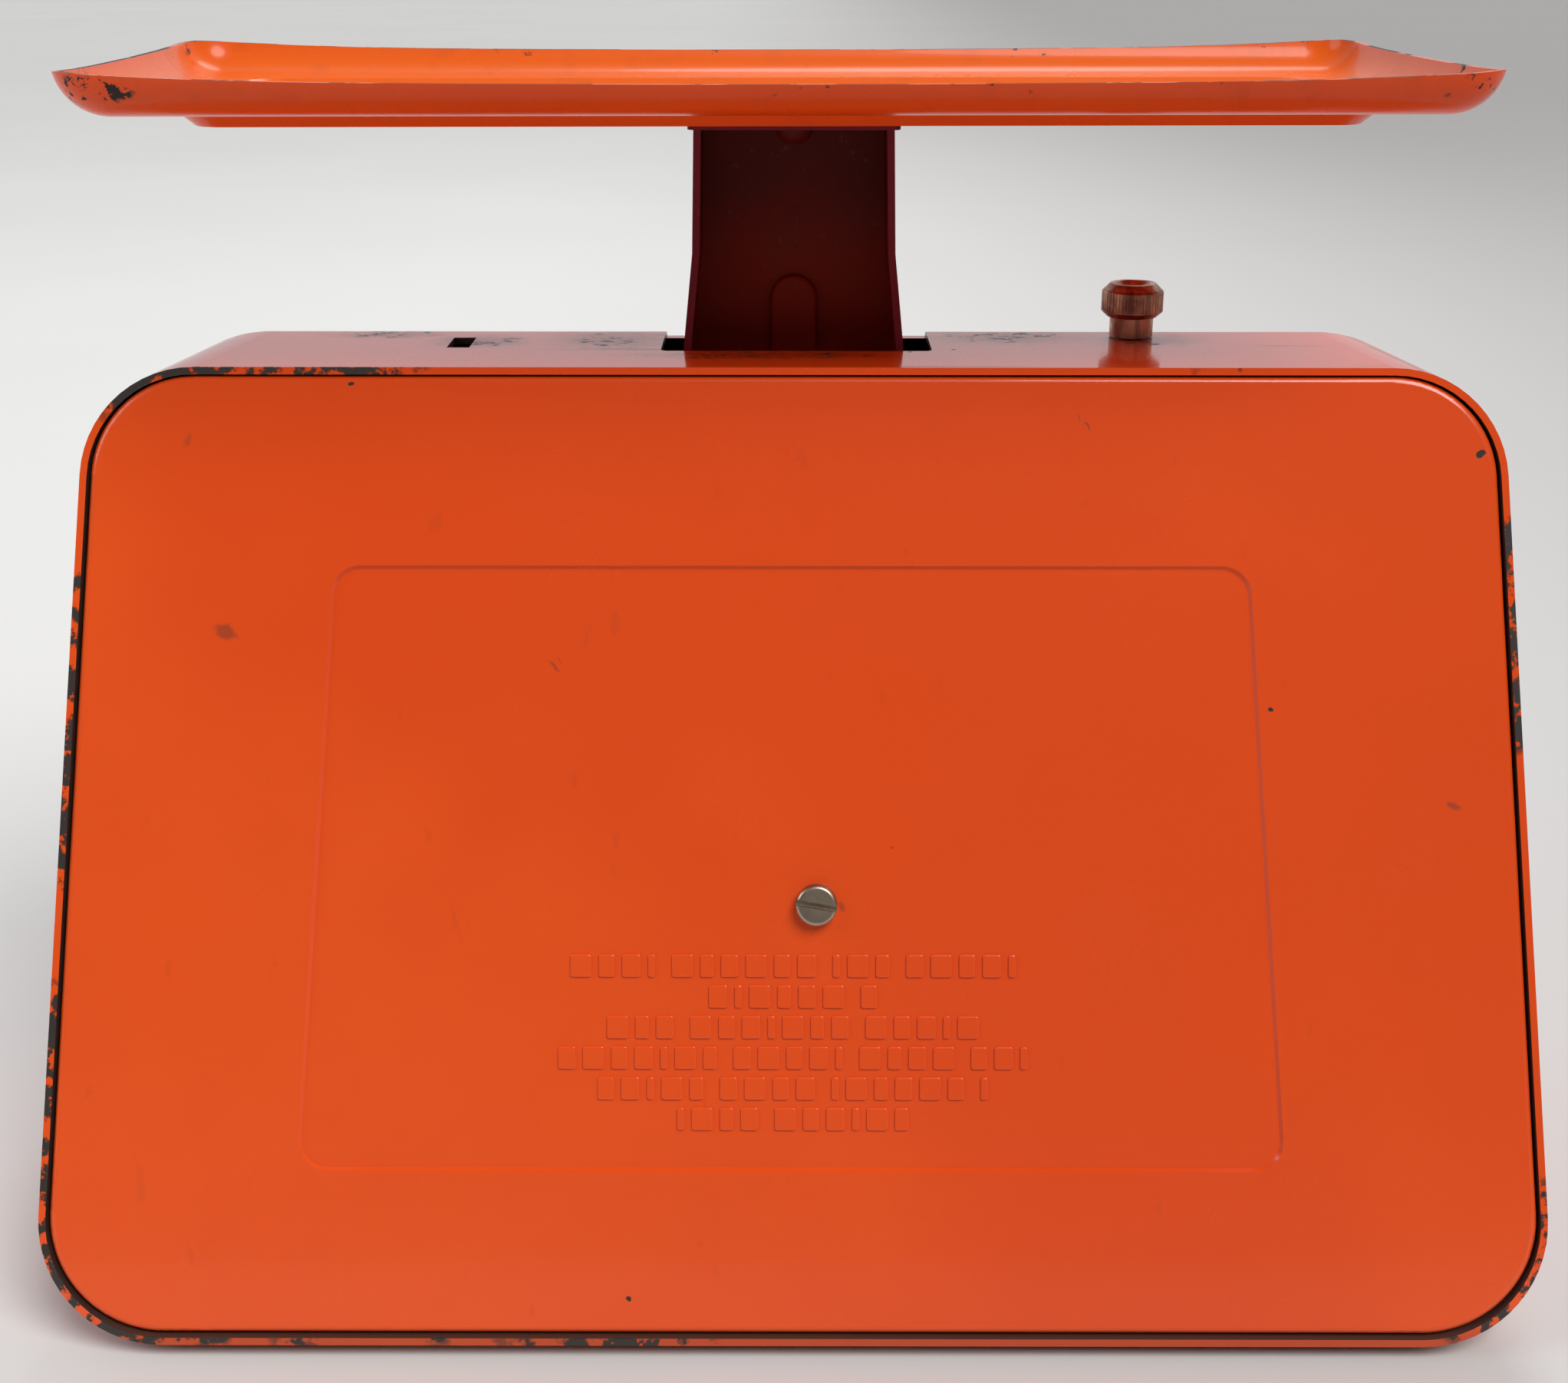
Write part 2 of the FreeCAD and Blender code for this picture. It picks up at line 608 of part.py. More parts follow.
CARRIER_RIVETS = (82.0, 102.0)
CARRIER_RIVET_Y = -9.5
CARRIER_Z = (57.0, 124.0)


def make_carrier():
    """Pan that closes the stem's open side and holds the rear ends of the pins."""
    w = 35.8 / 2.0 - STEM_SHEET
    z0, z1 = CARRIER_Z
    back = box(-w, w, STEM_REAR_Y, STEM_REAR_Y + 1.2, z0, z1)
    carrier = back
    for side in (-1, 1):
        x0 = w - 1.2 if side > 0 else -w
        carrier = carrier.fuse(box(x0, x0 + 1.2, -13.0, STEM_REAR_Y, z0, z1))
    for z in STEM_PIN_Z:
        carrier = carrier.cut(rod(PIN_R + PIVOT_CLEAR, V(0, -10, z), Y_AXIS, 12))
    for z in CARRIER_RIVETS:
        carrier = carrier.cut(rod(1.4, V(-25, CARRIER_RIVET_Y, z), X_AXIS, 50))
    return carrier.removeSplitter()


def make_carrier_rivets():
    """Short side rivets through the stem's flanges and the carrier's."""
    rivets = []
    outer = 35.8 / 2.0
    inner = outer - STEM_SHEET - 1.2
    for z in CARRIER_RIVETS:
        for side in (-1, 1):
            away = X_AXIS * side
            start = V(side * inner, CARRIER_RIVET_Y, z)
            shank = rod(1.4, start, away, outer - inner)
            head = Part.makeCone(2.5, 1.8, 0.9, V(side * outer, CARRIER_RIVET_Y, z), away)
            tail = Part.makeCone(2.2, 1.8, 0.7, start, away * -1)
            rivets.append(shank.fuse(head).fuse(tail))
    return Part.makeCompound(rivets)


def make_support_plate():
    corners = [(-16.75, -21.5), (16.75, -21.5), (16.75, -2.5), (-16.75, -2.5)]
    top = plate(rounded_wire(corners, [1.5] * 4, flat_point, STEM_TOP_Z), Z_AXIS, PLATE_T)
    return top.cut(rod(2.0, V(0, RIVET_Y, STEM_TOP_Z - 1), Z_AXIS, 6))


RIVET_Y = -10.6


def make_tray_rivet():
    """Round head under the support plate, its shank closed flush with the tray floor."""
    floor_top = STEM_TOP_Z + PLATE_T + TRAY_SHEET
    dome = Part.makeSphere(3.1, V(0, RIVET_Y, STEM_TOP_Z))
    dome = dome.common(box(-4, 4, RIVET_Y - 4, RIVET_Y + 4, STEM_TOP_Z - 2.7, STEM_TOP_Z))
    shank = rod(2.0, V(0, RIVET_Y, STEM_TOP_Z), Z_AXIS, floor_top - STEM_TOP_Z)
    return dome.fuse(shank)


def make_plate_lugs():
    """Two upset weld lugs where the support plate meets the web."""
    lugs = []
    for x in (-10.6, 10.4):
        y0 = STEM_WEB_Y + STEM_SHEET
        points = [V(x - 1.5, y0, STEM_TOP_Z), V(x + 1.6, y0, STEM_TOP_Z),
                  V(x + 1.0, y0, STEM_TOP_Z - 1.5), V(x + 0.3, y0, STEM_TOP_Z - 1.1),
                  V(x - 0.6, y0, STEM_TOP_Z - 2.0), V(x - 1.3, y0, STEM_TOP_Z - 1.3)]
        lugs.append(polygon_prism(points, Y_AXIS, 1.5))
    return Part.makeCompound(lugs)


def rectangle_wire(length, width, radius, z):
    a = length / 2.0
    b = width / 2.0
    return rounded_wire([(-a, -b), (a, -b), (a, b), (-a, b)], [radius] * 4, flat_point, z)


def tray_form(inset, z0):
    """Round-bottomed block, bounded by the tray wall moved inward by inset."""
    wire = rectangle_wire(TRAY_L - 2 * inset, TRAY_W - 2 * inset, TRAY_CORNER_R - inset, z0)
    block = plate(wire, Z_AXIS, 14.0)
    bottom = edges_near_plane(block, V(0, 0, z0), Z_AXIS)
    return block.makeFillet(TRAY_ROUND_R - inset, bottom)


def rim_cutter(half, dip, flat, along, across, reach):
    """Removes what stands above a rim line that rises towards both ends."""
    tip = V(0, 0, TRAY_TIP_Z)
    low = V(0, 0, TRAY_TIP_Z - dip)
    shoulder = V(0, 0, TRAY_TIP_Z - 0.8 * dip)
    mid_x = flat + (half - flat) * 0.45
    points = [tip - along * half, shoulder - along * mid_x, low - along * flat,
              low + along * flat, shoulder + along * mid_x, tip + along * half]
    curve = Part.BSplineCurve()
    curve.interpolate([p - across * reach for p in points])
    line = curve.toShape()
    first = points[0] - across * reach
    last = points[-1] - across * reach
    lift = V(0, 0, 12)
    rest = Part.makePolygon([last, last + lift, first + lift, first])
    wire = Part.Wire([line] + rest.Edges)
    return Part.Face(wire).extrude(across * (2 * reach))


def make_tray():
    """Pressed tray: rounded walls, raised corners and a lowered well."""
    outer = tray_form(0.0, TRAY_FLOOR_Z)
    inner = tray_form(TRAY_SHEET, TRAY_FLOOR_Z + TRAY_SHEET)
    z = TRAY_FLOOR_Z
    well_out = Part.makeLoft([rectangle_wire(WELL_L, WELL_W, 7.0, z + 0.4),
                              rectangle_wire(WELL_L - 6, WELL_W - 6, 5.0, z - WELL_STEP)], True, True)
    well_in = Part.makeLoft([rectangle_wire(WELL_L - 1.0, WELL_W - 1.0, 6.5, z + TRAY_SHEET + 0.3),
                             rectangle_wire(WELL_L - 7, WELL_W - 7, 4.5, z + TRAY_SHEET - WELL_STEP)], True, True)
    tray = outer.fuse(well_out).cut(inner).cut(well_in)
    tray = tray.cut(rim_cutter(TRAY_L / 2 + 0.5, TRAY_LONG_DIP, 50.0, X_AXIS, Y_AXIS, 60.0))
    tray = tray.cut(rim_cutter(TRAY_W / 2 + 0.5, TRAY_SHORT_DIP, 16.0, Y_AXIS, X_AXIS, 120.0))
    tray = tray.removeSplitter()
    tray.rotate(V(0, 0, 0), Z_AXIS, TRAY_TWIST)
    tray.translate(V(TRAY_X, TRAY_Y, 0))
    return tray.cut(rod(2.0, V(0, RIVET_Y, TRAY_FLOOR_Z - 5), Z_AXIS, 8))


def involute_pinion():
    """Pinion outline in the plane of the dial, one tooth pointing to +X."""
    base_r = PITCH_R * math.cos(math.radians(20.0))
    tip_r = PITCH_R + 0.8 * MODULE
    root_r = PITCH_R - 1.25 * MODULE
    flat = math.tan(math.radians(20.0)) - math.radians(20.0)
    half_pitch = math.pi / (2.0 * TEETH) - 0.06 / PITCH_R
    profile = []
    for k in range(5):
        r = base_r + (tip_r - base_r) * k / 4.0
        a = math.acos(min(1.0, base_r / r))
        profile.append((r, half_pitch + flat - (math.tan(a) - a)))
    points = []
    for i in range(TEETH):
        mid = 2.0 * math.pi * i / TEETH
        points.append((root_r, mid - profile[0][1]))
        for r, half in profile:
            points.append((r, mid - half))
        for r, half in reversed(profile):
            points.append((r, mid + half))
        points.append((root_r, mid + profile[0][1]))
    return [front_point(r * math.cos(a), PIVOT_S + r * math.sin(a), PINION_T[0]) for r, a in points]


def make_pinion():
    blank = polygon_prism(involute_pinion(), FRONT_IN, PINION_T[1] - PINION_T[0])
    return blank.cut(rod(1.0, front_point(0, PIVOT_S, 10), FRONT_IN, 14))


RACK_BACK_X = 12.0
RACK_MID_X = 8.5


def make_rack():
    """Toothed strip parallel to the dial, its teeth facing -X."""
    pitch = math.pi * MODULE
    tip_x = PITCH_R - 0.8 * MODULE
    root_x = PITCH_R + 1.2 * MODULE
    lean = math.tan(math.radians(20.0))
    half = pitch / 4.0 - 0.06
    points = [(RACK_BACK_X, RACK_S[0])]
    points.append((RACK_BACK_X, RACK_S[1]))
    points.append((root_x, RACK_S[1]))
    for k in range(13, -5, -1):
        s = PIVOT_S + (k + 0.5) * pitch
        wide = half + (root_x - PITCH_R) * lean
        slim = half - (PITCH_R - tip_x) * lean
        points += [(root_x, s + wide), (tip_x, s + slim), (tip_x, s - slim), (root_x, s - wide)]
    points.append((root_x, RACK_S[0]))
    outline = [front_point(x, s, RACK_T[0]) for x, s in points]
    rack = polygon_prism(outline, FRONT_IN, RACK_T[1] - RACK_T[0])
    for z in RACK_RIVETS:
        rack = rack.cut(rod(1.2, V(RACK_MID_X, -35, z), Y_AXIS, 20))
    return rack


RACK_RIVETS = (77.0, 82.0)
BLOCK_S = (75.0, 86.0)


def make_rack_block():
    """Wedge block between the stem's upright web and the leaning rack."""
    a = front_point(4.5, BLOCK_S[0], RACK_T[1])
    b = front_point(4.5, BLOCK_S[1], RACK_T[1])
    block = polygon_prism([a, b, V(4.5, STEM_WEB_Y, b.z), V(4.5, STEM_WEB_Y, a.z)], X_AXIS, RACK_BACK_X - 4.5)
    for z in RACK_RIVETS:
        block = block.cut(rod(1.2, V(RACK_MID_X, -35, z), Y_AXIS, 20))
    return block


def make_rack_rivets():
    rivets = []
    for z in RACK_RIVETS:
        s = (z - BASE_Z + RACK_T[0] * FRONT_UP.y) / FRONT_UP.z
        face_y = front_point(0, s, RACK_T[0]).y
        inside = STEM_WEB_Y + STEM_SHEET
        shank = rod(1.2, V(RACK_MID_X, face_y - 0.3, z), Y_AXIS, inside - face_y + 0.3)
        head = Part.makeCone(1.5, 2.1, 0.9, V(RACK_MID_X, face_y - 1.3, z), Y_AXIS)
        tail = Part.makeCone(2.1, 1.5, 0.8, V(RACK_MID_X, inside, z), Y_AXIS)
        rivets.append(shank.fuse(head).fuse(tail))
    return Part.makeCompound(rivets)


def make_arbor():
    return rod(1.0, front_point(0, PIVOT_S, 3.9), FRONT_IN, 20.6)


def make_pointer_bracket():
    """Folded bracket: two leaning ears for the arbor, a side web and a foot."""
    x0 = -13.0
    ear_front = [(x0, PIVOT_S - 8), (6, PIVOT_S - 8), (6, PIVOT_S + 8), (x0, PIVOT_S + 8)]
    radii = [0.3, 5.0, 5.0, 0.3]
    front = plate(rounded_wire(ear_front, radii, front_point, 10.0), FRONT_IN, 1.2)
    rear = plate(rounded_wire(ear_front, radii, front_point, 22.0), FRONT_IN, 1.2)
    a = front_point(x0, PIVOT_S + 8, 10.0)
    b = front_point(x0, PIVOT_S + 8, 23.2)
    drop_a = a - FRONT_UP * ((a.z - BASE_TOP_Z) / FRONT_UP.z)
    drop_b = b - FRONT_UP * ((b.z - BASE_TOP_Z) / FRONT_UP.z)
    web = polygon_prism([a, b, drop_b, drop_a], X_AXIS, 1.2)
    foot = box(x0 - 12, x0 + 1.2, drop_a.y, drop_b.y, BASE_TOP_Z, BASE_TOP_Z + 1.2)
    bracket = front.fuse(rear).fuse(web).fuse(foot)
    bracket = bracket.cut(rod(1.05, front_point(0, PIVOT_S, 8), FRONT_IN, 18))
    mid_y = (drop_a.y + drop_b.y) / 2
    bracket = bracket.cut(rod(1.3, V(x0 - 6, mid_y, BASE_TOP_Z - 1), Z_AXIS, 4))
    return bracket.removeSplitter()


def make_bracket_screw():
    return slotted_screw(V(-19.0, BRACKET_SCREW_Y, BASE_TOP_Z + 1.2), Z_AXIS, 2.4, 1.6, 1.3, 1.2, X_AXIS)


def bracket_foot_mid():
    near = front_point(0, 0, 10.0)
    far = front_point(0, 0, 23.2)
    y_near = near.y + (BASE_TOP_Z - near.z) * FRONT_UP.y / FRONT_UP.z
    y_far = far.y + (BASE_TOP_Z - far.z) * FRONT_UP.y / FRONT_UP.z
    return (y_near + y_far) / 2.0


BRACKET_SCREW_Y = bracket_foot_mid()


def make_needle():
    """Tapered pointer with a broad tail, at rest on the zero mark."""
    a = math.radians(NEEDLE_REST)
    along = V(-math.sin(a), 0, 0) + FRONT_UP * math.cos(a)
    side = along.cross(FRONT_IN)
    hub = front_point(0, PIVOT_S, 4.4)
    points = [hub + along * NEEDLE_LENGTH + side * 0.3, hub + along * NEEDLE_LENGTH - side * 0.3,
              hub - side * 2.0, hub - along * NEEDLE_TAIL - side * 3.4,
              hub - along * NEEDLE_TAIL + side * 3.4, hub + side * 2.0]
    needle = polygon_prism(points, FRONT_IN, 0.5)
    needle = needle.fuse(rod(4.2, hub, FRONT_IN, 0.5))
    return needle.cut(rod(1.0, hub - FRONT_IN, FRONT_IN, 3)).removeSplitter()


def make_needle_cap():
    cap = rod(3.2, front_point(0, PIVOT_S, 3.3), FRONT_IN, 1.1)
    front = edges_near_plane(cap, front_point(0, PIVOT_S, 3.3), FRONT_IN)
    cap = cap.makeFillet(0.5, front)
    return cap.cut(rod(1.0, front_point(0, PIVOT_S, 3.9), FRONT_IN, 1.0))


def make_needle_collar():
    """Collar pressed on the arbor behind the needle."""
    collar = rod(2.0, front_point(0, PIVOT_S, 4.9), FRONT_IN, 1.2)
    return collar.cut(rod(1.0, front_point(0, PIVOT_S, 4.5), FRONT_IN, 3.0))


def make_bezel():
    """Bright trim around the window with a lip that lines the opening."""
    ring = plate(window_wire(-BEZEL_RISE, BEZEL_W), FRONT_IN, BEZEL_RISE)
    crown = edges_near_plane(ring, front_point(0, 0, -BEZEL_RISE), FRONT_IN)
    ring = ring.makeFillet(0.5, crown)
    lip = plate(window_wire(-0.3, -0.02), FRONT_IN, SHEET + 0.3)
    bezel = ring.fuse(lip)
    return bezel.cut(plate(window_wire(-3.0, -0.9), FRONT_IN, 8.0)).removeSplitter()


def make_lens():
    return plate(window_wire(LENS_T[0], 3.0), FRONT_IN, LENS_T[1] - LENS_T[0])


def make_dial_frame():
    """Moulded frame that spaces the dial behind the lens."""
    frame = plate(window_wire(LENS_T[0], DIAL_MARGIN), FRONT_IN, DIAL_T[0] - LENS_T[0])
    frame = frame.cut(plate(window_wire(0.0, 3.1), FRONT_IN, LENS_T[1]))
    frame = frame.cut(plate(window_wire(0.0, 1.0), FRONT_IN, 10.0))
    for x, s in DIAL_SCREWS:
        frame = frame.cut(rod(0.9, front_point(x, s, 3.2), FRONT_IN, 6))
    return frame


DIAL_SCREWS = ((-78.0, 22.3), (78.0, 22.3), (-74.0, 111.7), (74.0, 111.7))


def make_dial():
    dial = plate(window_wire(DIAL_T[0], DIAL_MARGIN), FRONT_IN, DIAL_T[1] - DIAL_T[0])
    dial = dial.cut(rod(3.0, front_point(0, PIVOT_S, 5), FRONT_IN, 5))
    for x, s in DIAL_SCREWS:
        dial = dial.cut(rod(0.9, front_point(x, s, 5), FRONT_IN, 5))
    return dial


def make_dial_screws():
    screws = []
    for x, s in DIAL_SCREWS:
        seat = front_point(x, s, DIAL_T[1])
        screws.append(slotted_screw(seat, FRONT_IN, 1.8, 1.2, 0.9, 4.0, X_AXIS))
    return Part.makeCompound(screws)


def make_adjuster_bracket():
    """Folded strap, spot-welded under the casing top, that guides the spring hanger."""
    z1 = TOP_Z - SHEET
    y0 = -19.4
    y1 = -9.5
    top = box(KNOB_X - 12.0, KNOB_X + 12.0, y0, y1, z1 - 1.2, z1)
    bracket = top
    for side in (-1, 1):
        x = KNOB_X + side * 6.0
        x0 = x if side > 0 else x - 1.2
        bracket = bracket.fuse(box(x0, x0 + 1.2, y0, y1, 124.0, z1 - 1.2))
    bracket = bracket.cut(rod(SCREW_R + RUN_CLEAR, V(KNOB_X, KNOB_Y, z1 - 4), Z_AXIS, 8))
    return bracket.removeSplitter()


def make_knob():
    """Turned head on a narrower neck, ribbed grip and a dished top."""
    grip_z0 = KNOB_Z1 - 4.6
    head_z0 = grip_z0 - 0.9
    outline = [V(0, 0, KNOB_Z0), V(KNOB_NECK_R, 0, KNOB_Z0), V(KNOB_NECK_R, 0, head_z0),
               V(KNOB_HEAD_R - 1.0, 0, head_z0), V(KNOB_HEAD_R, 0, grip_z0),
               V(KNOB_HEAD_R, 0, KNOB_Z1 - 1.3), V(KNOB_HEAD_R - 1.3, 0, KNOB_Z1),
               V(2.9, 0, KNOB_Z1), V(2.2, 0, KNOB_Z1 - 0.8), V(0, 0, KNOB_Z1 - 1.0)]
    face = Part.Face(Part.makePolygon(outline + [outline[0]]))
    knob = face.revolve(V(0, 0, 0), Z_AXIS, 360)
    grooves = []
    for i in range(KNURLS):
        a = math.radians(360.0 * i / KNURLS)
        centre = V((KNOB_HEAD_R + 0.08) * math.cos(a), (KNOB_HEAD_R + 0.08) * math.sin(a), grip_z0 + 0.2)
        grooves.append(rod(0.22, centre, Z_AXIS, KNOB_Z1 - 1.5 - grip_z0))
    knob = knob.cut(Part.makeCompound(grooves))
    knob = knob.cut(rod(SCREW_R, V(0, 0, KNOB_Z0 - 1), Z_AXIS, 6.0))
    knob.translate(V(KNOB_X, KNOB_Y, 0))
    return knob


def make_zero_screw():
    z0 = 126.0
    return rod(SCREW_R, V(KNOB_X, KNOB_Y, z0), Z_AXIS, KNOB_Z0 + 5.0 - z0)


def make_screw_collar():
    """Collar pressed on the screw under the bracket, so it cannot lift."""
    z1 = TOP_Z - SHEET - 1.2 - 0.15
    ring = rod(3.6, V(KNOB_X, KNOB_Y, z1 - 1.2), Z_AXIS, 1.2)
    return ring.cut(rod(SCREW_R, V(KNOB_X, KNOB_Y, z1 - 3), Z_AXIS, 6))


def make_hanger():
    """Nut block with two cheeks that carry the spring's upper pin."""
    z0, z1 = HANGER_Z
    block = box(KNOB_X - 5.6, KNOB_X + 5.6, KNOB_Y - 4.0, KNOB_Y + 4.0, z0, z1)
    hanger = block
    for side in (-1, 1):
        y = KNOB_Y + side * 4.0
        y0 = y if side > 0 else y - 1.2
        hanger = hanger.fuse(box(KNOB_X - 4.0, KNOB_X + 4.0, y0, y0 + 1.2, HANGER_PIN_Z - 3.0, z1))
    hanger = hanger.cut(rod(SCREW_R + RUN_CLEAR, V(KNOB_X, KNOB_Y, z0 - 2), Z_AXIS, 12))
    hanger = hanger.cut(rod(1.2, V(KNOB_X, KNOB_Y - 10, HANGER_PIN_Z), Y_AXIS, 20))
    return hanger.removeSplitter()


def make_hanger_pin():
    start = V(KNOB_X, KNOB_Y - 5.9, HANGER_PIN_Z)
    return rod(1.2, start, Y_AXIS, 11.8)


def make_spring():
    """Extension spring: close coils with an eye standing over each end."""
    z0, z1 = COIL_Z
    turns = 13
    helix = Part.makeHelix((z1 - z0) / turns, z1 - z0, SPRING_R)
    ring = Part.Wire([Part.makeCircle(WIRE_R, V(SPRING_R, 0, 0), Y_AXIS)])
    coil = Part.Wire(helix).makePipeShell([ring], True, True)
    coil.translate(V(KNOB_X, KNOB_Y, z0))
    low = spring_eye(spring_pin_z(), z0, 1.5, -1)
    high = spring_eye(HANGER_PIN_Z, z1, 1.2, 1)
    return coil.fuse(low).fuse(high)


def spring_eye(pin_z, coil_z, pin_r, up):
    """Round eye about a pin along Y, and the wire that leads to the coil."""
    eye_r = pin_r + WIRE_R + 0.45
    eye = Part.makeTorus(eye_r, WIRE_R, V(KNOB_X, KNOB_Y, pin_z), Y_AXIS)
    near = V(KNOB_X, KNOB_Y, pin_z - up * eye_r)
    far = V(KNOB_X + SPRING_R, KNOB_Y, coil_z)
    mid = V(KNOB_X, KNOB_Y, coil_z + up * 0.6)
    lead = rod(WIRE_R, near, mid - near, (mid - near).Length)
    turn = rod(WIRE_R, mid, far - mid, (far - mid).Length)
    knuckle = Part.makeSphere(WIRE_R, mid)
    end = Part.makeSphere(WIRE_R * 1.02, far)
    return eye.fuse(lead).fuse(turn).fuse(knuckle).fuse(end)


NODES = {
    "casing_shell": make_casing,
    "back_cover": make_back_cover,
    "back_cover_screw": make_cover_screw,
    "cover_screw_bracket": make_screw_bracket,
    "cover_weld_nut": make_weld_nut,
    "chassis_base": make_chassis_base,
    "chassis_rivets": make_base_rivets,
    "chassis_upright": make_upright,
    "upright_screws": make_upright_screws,
    "upper_frame_pin": lambda: make_frame_pin(FRAME_PIN_Z[0]),
    "lower_frame_pin": lambda: make_frame_pin(FRAME_PIN_Z[1]),
    "frame_pin_clips": make_frame_clips,
    "upper_lever": lambda: make_lever(0, 0.0, ((26.0, 48.0),)),
    "upper_lever_sleeve": lambda: make_sleeve(0),
    "upper_stem_pin": lambda: make_stem_pin(0),
    "upper_stem_pin_clip": lambda: make_stem_pin_clip(0),
    "lower_lever": lambda: make_lever(1, KNOB_X, ((26.0, 48.0), (-46.0, -26.0))),
    "lower_lever_sleeve": lambda: make_sleeve(1),
    "lower_stem_pin": lambda: make_stem_pin(1),
    "lower_stem_pin_clip": lambda: make_stem_pin_clip(1),
    "spring_pin": make_spring_pin,
    "main_spring": make_spring,
    "stem_channel": make_stem,
    "stem_carrier": make_carrier,
    "carrier_rivets": make_carrier_rivets,
    "tray_support_plate": make_support_plate,
    "support_plate_lugs": make_plate_lugs,
    "tray": make_tray,
    "tray_rivet": make_tray_rivet,
    "rack": make_rack,
    "rack_block": make_rack_block,
    "rack_rivets": make_rack_rivets,
    "pointer_bracket": make_pointer_bracket,
    "pointer_bracket_screw": make_bracket_screw,
    "pointer_arbor": make_arbor,
    "pinion": make_pinion,
    "needle_collar": make_needle_collar,
    "pointer_needle": make_needle,
    "pointer_cap": make_needle_cap,
    "window_bezel": make_bezel,
    "window_lens": make_lens,
    "dial_frame": make_dial_frame,
    "dial_plate": make_dial,
    "dial_screws": make_dial_screws,
    "adjuster_bracket": make_adjuster_bracket,
    "zero_knob": make_knob,
    "zero_screw": make_zero_screw,
    "zero_screw_collar": make_screw_collar,
    "spring_hanger": make_hanger,
    "hanger_pin": make_hanger_pin,
}
FOOT_NAMES = ("foot_front_left", "foot_front_right", "foot_rear_left", "foot_rear_right")

os.makedirs("parts", exist_ok=True)
for name, make in NODES.items():
    make().exportStep("parts/" + name + ".step")
for name, spot in zip(FOOT_NAMES, FOOT_POSITIONS):
    make_foot(spot[0], spot[1]).exportStep("parts/" + name + ".step")
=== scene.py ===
import json
import math

import bmesh
import bpy
from mathutils import Matrix, Vector


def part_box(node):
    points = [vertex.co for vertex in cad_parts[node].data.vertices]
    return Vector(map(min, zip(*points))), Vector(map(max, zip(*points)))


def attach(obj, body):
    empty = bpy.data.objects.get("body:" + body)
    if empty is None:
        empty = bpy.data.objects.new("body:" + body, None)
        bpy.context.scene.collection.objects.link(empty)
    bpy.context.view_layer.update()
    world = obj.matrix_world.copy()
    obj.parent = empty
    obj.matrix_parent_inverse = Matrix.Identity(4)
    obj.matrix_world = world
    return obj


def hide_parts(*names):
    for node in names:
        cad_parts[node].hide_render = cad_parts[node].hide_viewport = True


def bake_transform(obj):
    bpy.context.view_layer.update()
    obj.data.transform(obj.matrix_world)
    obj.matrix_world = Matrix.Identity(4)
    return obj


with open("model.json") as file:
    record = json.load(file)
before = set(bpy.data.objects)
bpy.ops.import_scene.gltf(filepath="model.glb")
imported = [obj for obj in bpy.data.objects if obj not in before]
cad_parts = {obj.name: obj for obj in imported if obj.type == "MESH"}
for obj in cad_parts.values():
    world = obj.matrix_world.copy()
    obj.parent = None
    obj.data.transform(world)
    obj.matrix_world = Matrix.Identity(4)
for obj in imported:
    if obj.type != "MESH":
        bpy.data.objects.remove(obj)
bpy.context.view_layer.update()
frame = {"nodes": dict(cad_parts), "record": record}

# Looks for a mechanical kitchen scale, seen from behind in the reference view.
# Metres.  +Z is up, the dial faces -Y and the back cover faces +Y.

MM = 0.001
nodes = frame["nodes"]


def corner_box(node):
    low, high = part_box(node)
    return Vector(low), Vector(high)


def flat_side(node, toward):
    """(mean outward normal, offset) of the node's faces that look toward a direction."""
    toward = Vector(toward)
    total = Vector((0, 0, 0))
    mesh = nodes[node].data
    for face in mesh.polygons:
        if face.normal.dot(toward) > 0.9:
            total += face.normal * face.area
    normal = total.normalized()
    offset = max(v.co.dot(normal) for v in mesh.vertices)
    return normal, offset


# ---------------------------------------------------------------- colours and places

ORANGE = (0.760, 0.080, 0.0065)
ORANGE_DEEP = (0.695, 0.064, 0.005)
# Painted light: brighter orange for the tray's inward faces.
ORANGE_PAINTED_LIGHT = (0.745, 0.118, 0.010)
BARE = (0.020, 0.013, 0.009)
# Rust brown for stains and chip halos, and painted shade along the casing's foot.
RUST_AND_SHADE = (0.105, 0.026, 0.010)
# Painted shade: dark colour for the casing's inward faces.
INSIDE_PAINTED_SHADE = (0.030, 0.013, 0.009)
MAROON = (0.078, 0.0034, 0.0008)
MAROON_LIGHT = (0.115, 0.0058, 0.0014)
# Painted reflected light: brighter red for the stem's foot.
MAROON_PAINTED_BOUNCE = (0.290, 0.019, 0.003)
MAROON_FOLD = (0.160, 0.012, 0.020)
DUST = (0.13, 0.050, 0.035)

REAR = flat_side("back_cover", (0, 1, 0.3))
FACE = flat_side("dial_plate", (0, -1, 0.2))
CASING_REAR = (REAR[0], REAR[1] + 0.1 * MM)
SHELL_MIDDLE = (0.0, 0.0, 0.075)
TOP_Z = corner_box("casing_shell")[1].z
TRAY_TOP = corner_box("tray")[1].z
TRAY_MIDDLE = (0.0, -0.0075, TRAY_TOP + 4.0 * MM)
STEM_HIGH = corner_box("stem_channel")[1]
RIM_SEED = 2.35

